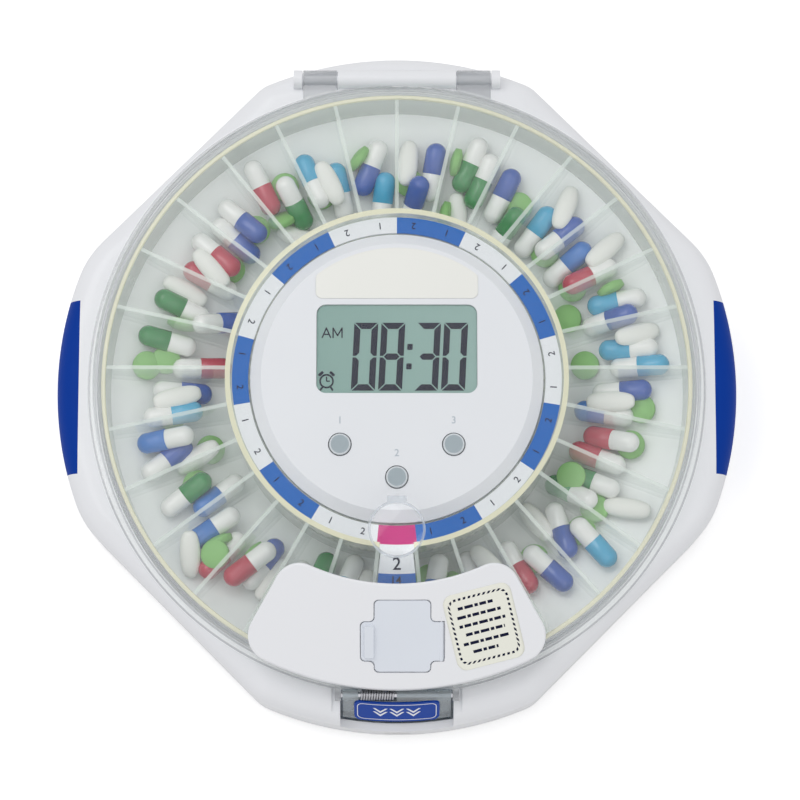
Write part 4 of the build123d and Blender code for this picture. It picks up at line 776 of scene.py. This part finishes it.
def scattered(name, shape, matrices, body, finish_name, slot=None, smooth=False):
    """Copies of a shape at several places, as one piece."""
    carrier = bpy.data.meshes.new(name + "_places")
    carrier.from_pydata([matrix.translation for matrix in matrices], [], [])
    turns = carrier.attributes.new("turn", "FLOAT_VECTOR", "POINT")
    for item, matrix in zip(turns.data, matrices):
        item.vector = matrix.to_euler("XYZ")
    source = put(name + "_shape", shape)
    mesh = grown(name, carrier, scatter_tree, {"Shape": source, "Finish": finish_of[finish_name]})
    bpy.data.objects.remove(source)
    used = mesh.attributes.get("turn")
    if used:
        mesh.attributes.remove(used)
    piece(name, shaded(mesh, smooth), body, finish_name, slot)


# ---- number ring

# Thickness of printed figures, then the place and size of those on the ring
PRINT = 0.04
DIGIT_RADIUS = 49.25
DIGIT_SIZE = 3.0

# The figures on the tab over the home place: text, distance from the tray's axis and size
TAB_FIGURES = {
    "tab_doses_figure": ("2", 58.2, 5.6),
    "tab_days_figure": ("14", 63.3, 3.6),
}


def polar(radius, turn, height):
    """A place on the tray at an angle from the front, anticlockwise, with its top towards the hub."""
    angle = turn - pi / 2
    place = Matrix.Translation((radius * MM * cos(angle), radius * MM * sin(angle), height * MM))
    return place @ Matrix.Rotation(turn, 4, "Z")


def ring_numbers():
    """Plain figures round the ring: a 1 and a 2 in each two-place cell."""
    for figure, first in (("1", 1), ("2", 2)):
        spots = [polar(DIGIT_RADIUS, k * PITCH, ring_z + PRINT / 2) for k in range(first, PLACES, 2)]
        scattered("ring_figures_" + figure, lettering(figure, DIGIT_SIZE, PRINT), spots, "carousel",
                  "print_ink", "ring_print")


def tab_print():
    """The tab's figures: doses a day on white, days on blue, each laid on the tab where it slopes."""
    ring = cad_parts["dosage_ring"]
    for name, (text, radius, size) in TAB_FIGURES.items():
        _, place, normal, _ = ring.ray_cast(Vector((0, -radius * MM, 1)), Vector((0, 0, -1)))
        lean = Vector((0, 0, 1)).rotation_difference(normal).to_matrix().to_4x4()
        spot = Matrix.Translation(place + normal * PRINT * MM) @ lean
        piece(name, placed(lettering(text, size, PRINT), spot), "carousel", "print_ink", "ring_print")


# ---- display

# The time's digits and their bars, leaning to the right, and the colon's two dots
SHOWN_TIME = "0830"
DIGIT_LEFTS = (-14.4, -5.9, 5.3, 13.8)
DIGIT_LOW = -4.3
DIGIT_HIGH = 17.3
DIGIT_WIDTH = 7.5
DIGIT_BAR = 2.0
BAR_GAP = 0.25
SLANT = tan(radians(2.9))
LIT = {"0": "abcdef", "3": "abcdg", "8": "abcdefg"}
COLON = ((3.4, 3.4), (3.4, 9.6))
COLON_DOT = (1.7, 1.9, 0.3)
INK_LIFT = 0.01
INK_THICKNESS = 0.05

# The letters A and M as lines through points
SIGN_STROKE = 0.42
SIGN_LINES = {
    "display_sign_a": (((-23.4, 12.6), (-22.1, 15.6), (-20.8, 12.6)), ((-22.95, 13.6), (-21.25, 13.6))),
    "display_sign_m": (((-20.0, 12.6), (-20.0, 15.6), (-18.6, 13.2), (-17.2, 15.6), (-17.2, 12.6)),),
}

# The alarm clock: its place, its outer and inner radius, and the rounded bars that are its bells, feet and
# hands, each as (width, height, corner) and (across, along, turn)
CLOCK_PLACE = (-22.0, -1.3)
CLOCK_RADII = (2.3, 1.75)
CLOCK_BARS = (
    ((1.9, 0.9, 0.4), (-1.75, 2.35, 0.75)),
    ((0.6, 1.5, 0.25), (-1.6, -2.35, -0.6)),
    ((1.9, 0.9, 0.4), (1.75, 2.35, -0.75)),
    ((0.6, 1.5, 0.25), (1.6, -2.35, 0.6)),
    ((0.4, 1.5, 0.15), (0.0, 0.7, 0.0)),
    ((1.1, 0.4, 0.15), (0.5, 0.0, 0.0)),
)


def segments():
    """The seven bars of a display digit, by letter, in a box from (0, 0)."""
    w, h, t, g = DIGIT_WIDTH, DIGIT_HIGH - DIGIT_LOW, DIGIT_BAR, BAR_GAP
    half = h / 2
    bars = {
        "a": ((g, h), (w - g, h), (w - t - g, h - t), (t + g, h - t)),
        "b": ((w, h - g), (w, half + g), (w - t / 2, half + g), (w - t, half + t / 2 + g),
              (w - t, h - t - g)),
        "g": ((t / 2 + g, half), (t + g, half + t / 2), (w - t - g, half + t / 2), (w - t / 2 - g, half),
              (w - t - g, half - t / 2), (t + g, half - t / 2)),
    }
    bars["f"] = [(w - x, y) for x, y in bars["b"]]
    for upper, lower in ("ad", "bc", "fe"):
        bars[lower] = [(x, h - y) for x, y in bars[upper]]
    return bars


def slanted(points):
    """Points leaned to the right with height above the digits' foot."""
    return [(x + (y - DIGIT_LOW) * SLANT, y) for x, y in points]


def on_screen(name, outlines):
    """Dark marks on the display."""
    low = screen_z + INK_LIFT
    cut_out(name, outlines, low, low + INK_THICKNESS, "base", "segment_ink", "screen")


def display_time():
    """The time on the display."""
    bars = segments()
    shown = [moved(bars[letter], left, DIGIT_LOW)
             for left, figure in zip(DIGIT_LEFTS, SHOWN_TIME) for letter in LIT[figure]]
    shown += [moved(rounded(*COLON_DOT), *place) for place in COLON]
    on_screen("display_time", [slanted(outline) for outline in shown])


def display_signs():
    """The small signs at the left of the display: A and M, and an alarm clock."""
    for sign, lines in SIGN_LINES.items():
        on_screen(sign, [stroke(*ends, SIGN_STROKE) for line in lines for ends in zip(line, line[1:])])
    clock = frame_strip(*(circle(radius, CLOCK_PLACE) for radius in CLOCK_RADII))
    clock += [moved(rounded(*bar), CLOCK_PLACE[0] + across, CLOCK_PLACE[1] + up, turn)
              for bar, (across, up, turn) in CLOCK_BARS]
    on_screen("display_alarm_sign", clock)


# ---- labels

# The sticker on the outlet cover, which stands a little over the lid
COVER_RISE = 1.7
COVER_TOP = LID_CEILING + LID_SKIN + COVER_RISE
STICKER = (21.6, 23.0)
STICKER_PLACE = (26.9, -78.2)
STICKER_TURN = radians(14.5)
STICKER_CORNER = 3.0
STICKER_LIFT = 0.02
STICKER_STEPS = 24
PAPER = 0.12
STICKER_INK = 0.03

# The sticker's dashed frame: how much smaller than the paper its outlines are, in width, height and corner
FRAME_OUTER = (2.4, 3.0, 0.4)
FRAME_INNER = (3.8, 4.4, 1.1)
DASHES = 46
DASH_SHARE = 0.52

# Its rows of unreadable print: where each row starts and ends, and the lengths that its bars take in turn
ROWS = ((-6.6, 5.0), (-7.4, 6.8), (-7.4, 7.2), (-6.0, 6.4), (-7.4, 7.2), (-5.0, 3.0))
ROW_TOP = 6.9
ROW_PITCH = 2.7
ROW_HALF = 0.45
WORDS = (1.6, 2.7, 1.1, 2.1)
WORD_GAP = 0.5


def on_cover(rise):
    """A height function a little above the outlet cover's cone, in millimetres."""
    return lambda x, y: COVER_TOP - LID_FALL * (hypot(x, y) - CROWN) + rise


def sticker_point(x, y):
    """A point of the sticker in plan."""
    return moved([(x, y)], *STICKER_PLACE, STICKER_TURN)[0]


def draped_patch(bm, width, height, radius, low, high):
    """A rounded patch laid over the cover, as a closed skin."""
    steps = STICKER_STEPS

    def row(v):
        up = (v * 2 - 1) * height / 2
        past = abs(up) - (height / 2 - radius)
        narrow = radius - sqrt(max(radius ** 2 - past ** 2, 0.0)) if past > 0 else 0.0
        half = width / 2 - narrow
        return [sticker_point((u / steps * 2 - 1) * half, up) for u in range(steps + 1)]

    rows = [row(0.5 - 0.5 * cos(pi * v / steps)) for v in range(steps + 1)]
    lower, upper = [[[dot(bm, x, y, level(x, y)) for x, y in line] for line in rows]
                    for level in (low, high)]
    for i in range(steps):
        for j in range(steps):
            for layer, flip in ((lower, True), (upper, False)):
                loop = [layer[i][j], layer[i][j + 1], layer[i + 1][j + 1], layer[i + 1][j]]
                bm.faces.new(reversed(loop) if flip else loop)
        for (a, b), (c, d) in (((0, i), (0, i + 1)), ((steps, i + 1), (steps, i)),
                               ((i + 1, 0), (i, 0)), ((i, steps), (i + 1, steps))):
            bm.faces.new((lower[a][b], lower[c][d], upper[c][d], upper[a][b]))


def point_at(points, share):
    """The point at a share of the way round an outline."""
    lengths = [span(*side) for side in sides(points)]
    target = share % 1.0 * sum(lengths)
    for side, length in zip(sides(points), lengths):
        if target <= length:
            return between(*side, target / length)
        target -= length
    return points[0]


def cover_sticker():
    """The care sticker beside the flap: paper, a dashed frame and rows of unreadable print."""
    width, height = STICKER
    paper_top = STICKER_LIFT + PAPER
    bm = bmesh.new()
    draped_patch(bm, width, height, STICKER_CORNER, on_cover(STICKER_LIFT), on_cover(paper_top))
    piece("cover_sticker", closed("cover_sticker", bm, True), "lid", "sticker_paper", "label")
    bars = []
    outer, inner = (rounded(width - narrower, height - lower, STICKER_CORNER - sharper, 6)
                    for narrower, lower, sharper in (FRAME_OUTER, FRAME_INNER))
    for k in range(DASHES):
        start, end = k / DASHES, (k + DASH_SHARE) / DASHES
        bars.append((point_at(outer, start), point_at(outer, end),
                     point_at(inner, end), point_at(inner, start)))
    for line, (x, end) in enumerate(ROWS):
        y = ROW_TOP - line * ROW_PITCH
        word = line
        while x < end:
            stop = min(x + WORDS[word % len(WORDS)], end)
            bars.append(((x, y - ROW_HALF), (stop, y - ROW_HALF), (stop, y + ROW_HALF), (x, y + ROW_HALF)))
            x = stop + WORD_GAP
            word += 1
    cut_out("sticker_print", [[sticker_point(*point) for point in bar] for bar in bars],
            on_cover(paper_top), on_cover(paper_top + STICKER_INK), "lid", "print_ink", "label")


# The marks on the latch's label: its outline, and chevrons as points round the middle of each
LABEL_INSET = 0.9
LABEL_CORNER = 1.9
LABEL_LINE = 0.5
LABEL_HALF = 12.0
MARK_LAYERS = (0.01, 0.06)
MARK_TILT = 0.4
CHEVRON = ((-2.3, 1.6), (-1.6, 1.6), (0.0, 0.3), (1.6, 1.6), (2.3, 1.6), (0.0, -0.5))
CHEVRON_HEIGHT = 1.25
CHEVRON_PLACES = [(x, up) for x in (-5.2, 0.0, 5.2) for up in (-1.7, 0.2)]


def label_face():
    """The label's slanting face: its low and high z, and its distance from the axis as a function of z."""
    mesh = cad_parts["press_label"].data
    corners = [vertex.co / MM for vertex in mesh.vertices]
    points = [(hypot(x, y), z) for x, y, z in corners if abs(x) < LABEL_HALF]
    outer = max(points)
    upper = max(points, key=lambda point: point[1] * 3 + point[0])
    slope = (outer[0] - upper[0]) / (outer[1] - upper[1])
    return outer[1], upper[1], lambda z: upper[0] + (z - upper[1]) * slope


def press_marks():
    """A thin white outline and three pairs of downward chevrons on the latch's label."""
    low, high, radius_at = label_face()
    width = 2 * (corner("press_label", 1, 0) - LABEL_INSET)
    height = high - low - 2 * LABEL_INSET
    bm = bmesh.new()

    def on_label(points):
        def layer(rise):
            for x, up in points:
                z = (low + high) / 2 + up
                yield dot(bm, x, -sqrt((radius_at(z) + rise) ** 2 - x ** 2), z + rise * MARK_TILT)

        skin(bm, *(list(layer(rise)) for rise in MARK_LAYERS))

    outer = rounded(width, height, LABEL_CORNER)
    inner = rounded(width - LABEL_LINE, height - LABEL_LINE, LABEL_CORNER - LABEL_LINE / 2)
    for over, under in zip(sides(outer), sides(inner)):
        steps = max(1, round(span(*over)))
        for k in range(steps):
            start, end = k / steps, (k + 1) / steps
            on_label((between(*over, start), between(*over, end),
                      between(*under, end), between(*under, start)))
    for across, drop in CHEVRON_PLACES:
        on_label([(across + x, up * CHEVRON_HEIGHT + drop) for x, up in CHEVRON])
    piece("press_marks", closed("press_marks", bm), "latch", "print_white", "label")


COIL_STEPS = 20
WIRE_STEPS = 8
WIRE_RADIUS = 0.4
WIRE_FIT = 0.92


def coil_group():
    """A tube of wire wound along a spiral."""
    tree, entry = new_group("coil", dict.fromkeys(("Turns", "Radius", "Length", "Wire"), "Float"))
    spiral = tree.nodes.new("GeometryNodeCurveSpiral")
    spiral.inputs["Resolution"].default_value = COIL_STEPS
    ring = tree.nodes.new("GeometryNodeCurvePrimitiveCircle")
    ring.inputs["Resolution"].default_value = WIRE_STEPS
    tube = tree.nodes.new("GeometryNodeCurveToMesh")
    tube.inputs["Fill Caps"].default_value = True
    link_up(
        tree,
        ((entry, "Turns"), (spiral, "Rotations")),
        ((entry, "Radius"), (spiral, "Start Radius")),
        ((entry, "Radius"), (spiral, "End Radius")),
        ((entry, "Length"), (spiral, "Height")),
        ((entry, "Wire"), (ring, "Radius")),
        ((spiral, "Curve"), (tube, "Curve")),
        ((ring, "Curve"), (tube, "Profile Curve")))
    return end_group(tree, entry, (tube, "Mesh"))


def latch_coil():
    """The latch's spring: close turns of wire round its pin."""
    low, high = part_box("latch_spring")
    middle = (low + high) / 2
    wire = WIRE_RADIUS * MM
    turns = round((high.x - low.x) / (2 * wire))
    mesh = grown("spring_coil", bpy.data.meshes.new("coil_start"), coil_group(), {
        "Turns": float(turns - 1),
        "Radius": (high.z - low.z) / 2 - wire,
        "Length": high.x - low.x - 2 * wire,
        "Wire": wire * WIRE_FIT,
        "Finish": finish_of["spring_steel"],
    })
    mesh.transform(Matrix.Translation((low.x + wire, middle.y, middle.z)) @ Matrix.Rotation(pi / 2, 4, "Y"))
    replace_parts(piece("spring_coil", shaded(mesh, True), "lid", "spring_steel", "steel"), "latch_spring")


NUMBER_SIZE = 3.2
NUMBER_GAP = 3.1


def button_marks():
    """Faint plain numbers above the buttons."""
    for number, node in enumerate(BUTTONS, 1):
        low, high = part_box(node)
        place = ((low.x + high.x) / 2, high.y + NUMBER_GAP * MM, (hub_z + PRINT / 2) * MM)
        mesh = placed(lettering(str(number), NUMBER_SIZE, PRINT), Matrix.Translation(place))
        piece("button_number_" + str(number), mesh, "base", "print_grey", "hub")


# ---- capsules and tablets

# Shapes in millimetres: a capsule's body and its wider cap, a round tablet and a long one
CAPSULE_LENGTH = 19.4
CAPSULE_WIDTH = 6.6
CAPSULE_WALL = 0.1
BODY_START = -4.0
CAP_RADIUS = 3.45
CAP_WALL = 0.12
CAP_START = -0.6
TABLET = (9.2, 4.0)
TABLET_PROFILE = ((0.86, 0.55), (0.55, 0.93), (0.45, 1.0))
OBLONG = (15.6, 6.6, 4.8)
OBLONG_FULLNESS = 0.6
QUARTER = 8

# What settles: each kind is three balls of a radius, at a distance from the middle one or from their centre
KINDS = {
    "capsule": (3.3, 6.4),
    "tablet": (2.0, 2.6),
    "oblong": (2.4, 5.4),
}
BALLS = 3
PAIRS = ((0, 1), (1, 2), (0, 2))
DROP_LOW = (66, -1.5, 0)
DROP_HIGH = (74, 1.5, 1)
DROP_HEIGHT = 30
DROP_PITCH = 9
DROP_TURN = 0.6
BALL_STEP = 0.3
SPARE_SIZE = 0.01
SETTLE_STEPS = 420
SETTLE_ROUNDS = 8
SPEED_KEPT = 0.93
FALL = 0.035
PUSH_APART = 0.35
WALL_CLEARANCE = 0.1
FLOOR_CLEARANCE = 1.02
FLOOR_GRIP = 0.12
TINY = 1e-9


def lathe(name, profile, steps=28):
    """A solid of revolution about X from a profile of (x, radius), in millimetres."""
    bm = bmesh.new()
    rings = []
    for x, radius in profile:
        if radius == 0:
            rings.append([dot(bm, x, 0.0, 0.0)])
        else:
            rings.append([dot(bm, x, y, z) for y, z in circle(radius, (0.0, 0.0), steps)])
    for first, second in zip(rings, rings[1:]):
        for i in range(steps):
            j = (i + 1) % steps
            loop = [ring[k % len(ring)] for ring, k in ((first, i), (first, j), (second, j), (second, i))]
            bm.faces.new(list(dict.fromkeys(loop)))
    return closed(name, bm, True)


def capsule_half(name, radius, inner, wall):
    """One shell of a capsule, from its open edge at inner to its round end."""
    end = CAPSULE_LENGTH / 2
    arc = [(end - radius + radius * sin(a * pi / 2 / QUARTER), radius * cos(a * pi / 2 / QUARTER))
           for a in range(QUARTER)]
    return lathe(name, [(inner, 0.0), (inner, radius - wall), (inner + wall, radius), *arc[1:], (end, 0.0)])


def tablet_shape():
    """A round tablet with bulging faces."""
    radius, thick = TABLET[0] / 2, TABLET[1] / 2
    face = [(thick, 0.0)] + [(thick * up, radius * out) for up, out in TABLET_PROFILE]
    tablet = lathe("tablet", [(-up, out) for up, out in face] + face[::-1])
    return placed(tablet, Matrix.Rotation(pi / 2, 4, "Y"))


def oblong_shape():
    """A long tablet, wider than it is high."""
    length, width, height = OBLONG
    shape = [(length / 2 * sin(a * pi / 2 / QUARTER), cos(a * pi / 2 / QUARTER) ** OBLONG_FULLNESS)
             for a in range(1 - QUARTER, QUARTER)]
    oblong = lathe("oblong", [(-length / 2, 0.0), *shape, (length / 2, 0.0)])
    return placed(oblong, Matrix.Diagonal((1.0, width / 2, height / 2, 1.0)))


def settle(counts):
    """Lets three-ball shapes fall and slide inward in every place; returns the centres of their balls."""
    places = len(counts)
    most = max(len(kinds) for kinds in counts)
    rng = np.random.default_rng(29)
    size = np.full((places, most * BALLS), SPARE_SIZE)
    alive = np.zeros((places, most * BALLS), bool)
    rest = np.zeros((places, most, len(PAIRS)))
    spot = np.zeros((places, most * BALLS, 3))
    for p, kinds in enumerate(counts):
        for q, kind in enumerate(kinds):
            radius, reach = KINDS[kind]
            turn = rng.uniform(-DROP_TURN, DROP_TURN)
            if kind == "tablet":
                turns = [a + turn for a in (0, 2 * pi / 3, 4 * pi / 3)]
                offsets = [(reach * cos(a), reach * sin(a)) for a in turns]
                rest[p, q] = reach * sqrt(3)
            else:
                offsets = [(part * cos(turn), part * sin(turn)) for part in (-reach, 0.0, reach)]
                rest[p, q] = (reach, reach, 2 * reach)
            base = rng.uniform(DROP_LOW, DROP_HIGH) + np.array((0, 0, DROP_HEIGHT + DROP_PITCH * q))
            own = slice(q * BALLS, (q + 1) * BALLS)
            spot[p, own] = [base + np.array((dx, dy, BALL_STEP * b)) for b, (dx, dy) in enumerate(offsets)]
            size[p, own] = radius
            alive[p, own] = True
    owner = np.repeat(np.arange(most), BALLS)
    apart = (owner[:, None] != owner[None, :])[None] & alive[:, :, None] & alive[:, None, :]
    half = PITCH / 2
    slope = (floor_high - floor_low) / (vane_outer - core_radius)
    previous = spot.copy()
    for _ in range(SETTLE_STEPS):
        velocity = (spot - previous) * SPEED_KEPT
        previous = spot.copy()
        spot = spot + velocity + np.array((0.0, 0.0, -FALL))
        for _ in range(SETTLE_ROUNDS):
            for q in range(most):
                for column, (a, b) in enumerate(PAIRS):
                    i, j = q * BALLS + a, q * BALLS + b
                    gap = spot[:, j] - spot[:, i]
                    length = np.linalg.norm(gap, axis=1, keepdims=True) + TINY
                    push = gap * (length - rest[:, q, column][:, None]) / length / 2
                    push[~alive[:, i]] = 0
                    spot[:, i] += push
                    spot[:, j] -= push
            gap = spot[:, None, :, :] - spot[:, :, None, :]
            length = np.linalg.norm(gap, axis=3) + TINY
            deep = size[:, :, None] + size[:, None, :] - length
            deep = np.where(apart & (deep > 0), deep, 0.0)
            spot -= (gap / length[..., None] * deep[..., None] * PUSH_APART).sum(axis=2)
            for side in (-1, 1):
                clear = spot[..., 0] * sin(half) - side * spot[..., 1] * cos(half) - size - VANE / 2
                deep = np.minimum(clear, 0.0)
                spot[..., 0] -= deep * sin(half)
                spot[..., 1] += deep * side * cos(half)
            radius = np.hypot(spot[..., 0], spot[..., 1])
            held = np.clip(radius, core_radius + size + WALL_CLEARANCE, vane_outer - size)
            spot[..., :2] *= (held / radius)[..., None]
            lift = floor_inner_z + slope * (held - core_radius) + size * FLOOR_CLEARANCE
            below = spot[..., 2] < lift
            spot[..., 2] = np.where(below, lift, spot[..., 2])
            previous = np.where(below[..., None], previous + (spot - previous) * FLOOR_GRIP, previous)
    return spot.reshape(places, most, BALLS, 3)


def pill_matrix(balls, kind, turn):
    """Where a settled shape lies: its X axis along it, its Z axis upright or through a tablet."""
    first, middle, last = (Vector(ball) for ball in balls)
    along = (last - first).normalized()
    if kind == "tablet":
        up = (middle - first).cross(last - first).normalized()
        up = up if up.z > 0 else -up
    else:
        up = along.cross(Vector((0, 0, 1)).cross(along).normalized())
    turned = Matrix((along, up.cross(along), up)).transposed().to_4x4()
    turned.translation = (first + middle + last) / 3 * MM
    return Matrix.Rotation(turn, 4, "Z") @ turned


def medicines():
    """Capsules and tablets in the 28 places, lying where they come to rest."""
    rng = np.random.default_rng(7)
    names = list(CAPS)
    recipes, colours = [], []
    for place in range(1, PLACES):
        recipe = ["capsule", "tablet", "capsule"]
        if place % 3 != 0:
            recipe.append("oblong")
        if place % 4 == 1:
            recipe.append("tablet")
        recipes.append(recipe)
        colours.append([names[int(rng.integers(len(names)))] for _ in recipe])
    about = Matrix.Rotation(pi, 4, "Z")
    spots = {}
    for place, (recipe, palette, rested) in enumerate(zip(recipes, colours, settle(recipes)), 1):
        for kind, colour, balls in zip(recipe, palette, rested):
            matrix = pill_matrix(balls, kind, place * PITCH - pi / 2)
            if kind == "capsule" and rng.random() < 0.5:
                matrix = matrix @ about
            spots.setdefault(colour if kind == "capsule" else kind, []).append(matrix)
    bodies = [matrix @ about for kind, found in spots.items() if kind in CAPS for matrix in found]
    body = capsule_half("capsule_body", CAPSULE_WIDTH / 2, BODY_START, CAPSULE_WALL)
    cap = capsule_half("capsule_cap", CAP_RADIUS, CAP_START, CAP_WALL)
    for name, shape, places, look in (
            ("capsule_bodies", body, bodies, "gelatin_white"),
            *(("capsule_caps_" + colour, cap, spots[colour], "gelatin_" + colour) for colour in names),
            ("green_tablets", tablet_shape(), spots["tablet"], "tablet_green"),
            ("white_tablets", oblong_shape(), spots["oblong"], "tablet_white")):
        scattered(name, shape, places, "carousel", look, smooth=True)


# ---- setting

TABLE_HALF = 3.0
TABLE_GLOW = 0.4
ROOM_LIGHT = 0.66
ROOM_SEEN = 1.0
CLEAR_LAYERS = 32
LAMP_AIM = Vector((0, 0, 0.04))

# Soft square lamps, in metres: place, width and power
LAMPS = {
    "key": ((-0.6, 0.5, 1.4), 1.1, 6.0),
    "fill": ((0.8, -0.6, 1.3), 1.1, 1.7),
}


def table_top():
    """The table top."""
    bm = bmesh.new()
    bmesh.ops.create_grid(bm, x_segments=1, y_segments=1, size=TABLE_HALF)
    mesh = bpy.data.meshes.new("table_top")
    bm.to_mesh(mesh)
    bm.free()
    paint = Finish("table_top")
    clouds = paint.mix(paint.noise(400.0), (0.9, 0.9, 0.9, 1.0), (0.92, 0.92, 0.92, 1.0))
    seen = paint.add("LightPath").outputs["Is Camera Ray"]
    paint.set(Base_Color=clouds, Roughness=0.9, Specular_IOR_Level=0.1, Emission_Color=PURE_WHITE)
    paint.set(Emission_Strength=paint.math("MULTIPLY", seen, TABLE_GLOW))
    mesh.materials.append(paint.material)
    put("table_top", mesh)


def lamps():
    """Large soft lamps aimed at the hub."""
    for name, (place, size, power) in LAMPS.items():
        light = bpy.data.lights.new(name, "AREA")
        light.shape = "SQUARE"
        light.size = size
        light.energy = power
        made = put(name, light)
        made.location = place
        made.rotation_euler = (LAMP_AIM - Vector(place)).to_track_quat("-Z", "Y").to_euler()


def surroundings():
    """A white room for what is seen straight, in gloss and through clear plastic; softer light otherwise."""
    world = bpy.data.worlds.new("studio")
    world.use_nodes = True
    scene.world = world
    room = Nodes(world.node_tree)
    path = room.add("LightPath").outputs
    seen = room.math("MAXIMUM", path["Is Camera Ray"], path["Is Glossy Ray"])
    seen = room.math("MAXIMUM", seen, path["Is Transmission Ray"])
    background = room.tree.nodes["Background"]
    room.feed(background.inputs["Strength"], room.ramp(seen, 0.0, 1.0, ROOM_LIGHT, ROOM_SEEN))
    room.feed(background.inputs["Color"], PURE_WHITE)


def camera():
    """The camera of the picture."""
    data = bpy.data.cameras.new("camera")
    data.lens = CAMERA_LENS
    data.sensor_width = SENSOR
    data.clip_end = CAMERA_REACH * MM
    made = put("camera", data)
    tilt = radians(CAMERA_ELEVATION)
    away = Vector((0.0, -cos(tilt), sin(tilt)))
    made.location = Vector((*CAMERA_AIM, 0.0)) * MM + away * CAMERA_DISTANCE * MM
    made.rotation_euler = (-away).to_track_quat("-Z", "Y").to_euler()
    scene.camera = made


dress()
ring_numbers()
tab_print()
display_time()
display_signs()
button_marks()
cover_sticker()
press_marks()
latch_coil()
medicines()
table_top()
lamps()
surroundings()
camera()
scene.view_settings.view_transform = "Standard"
scene.cycles.transparent_max_bounces = CLEAR_LAYERS
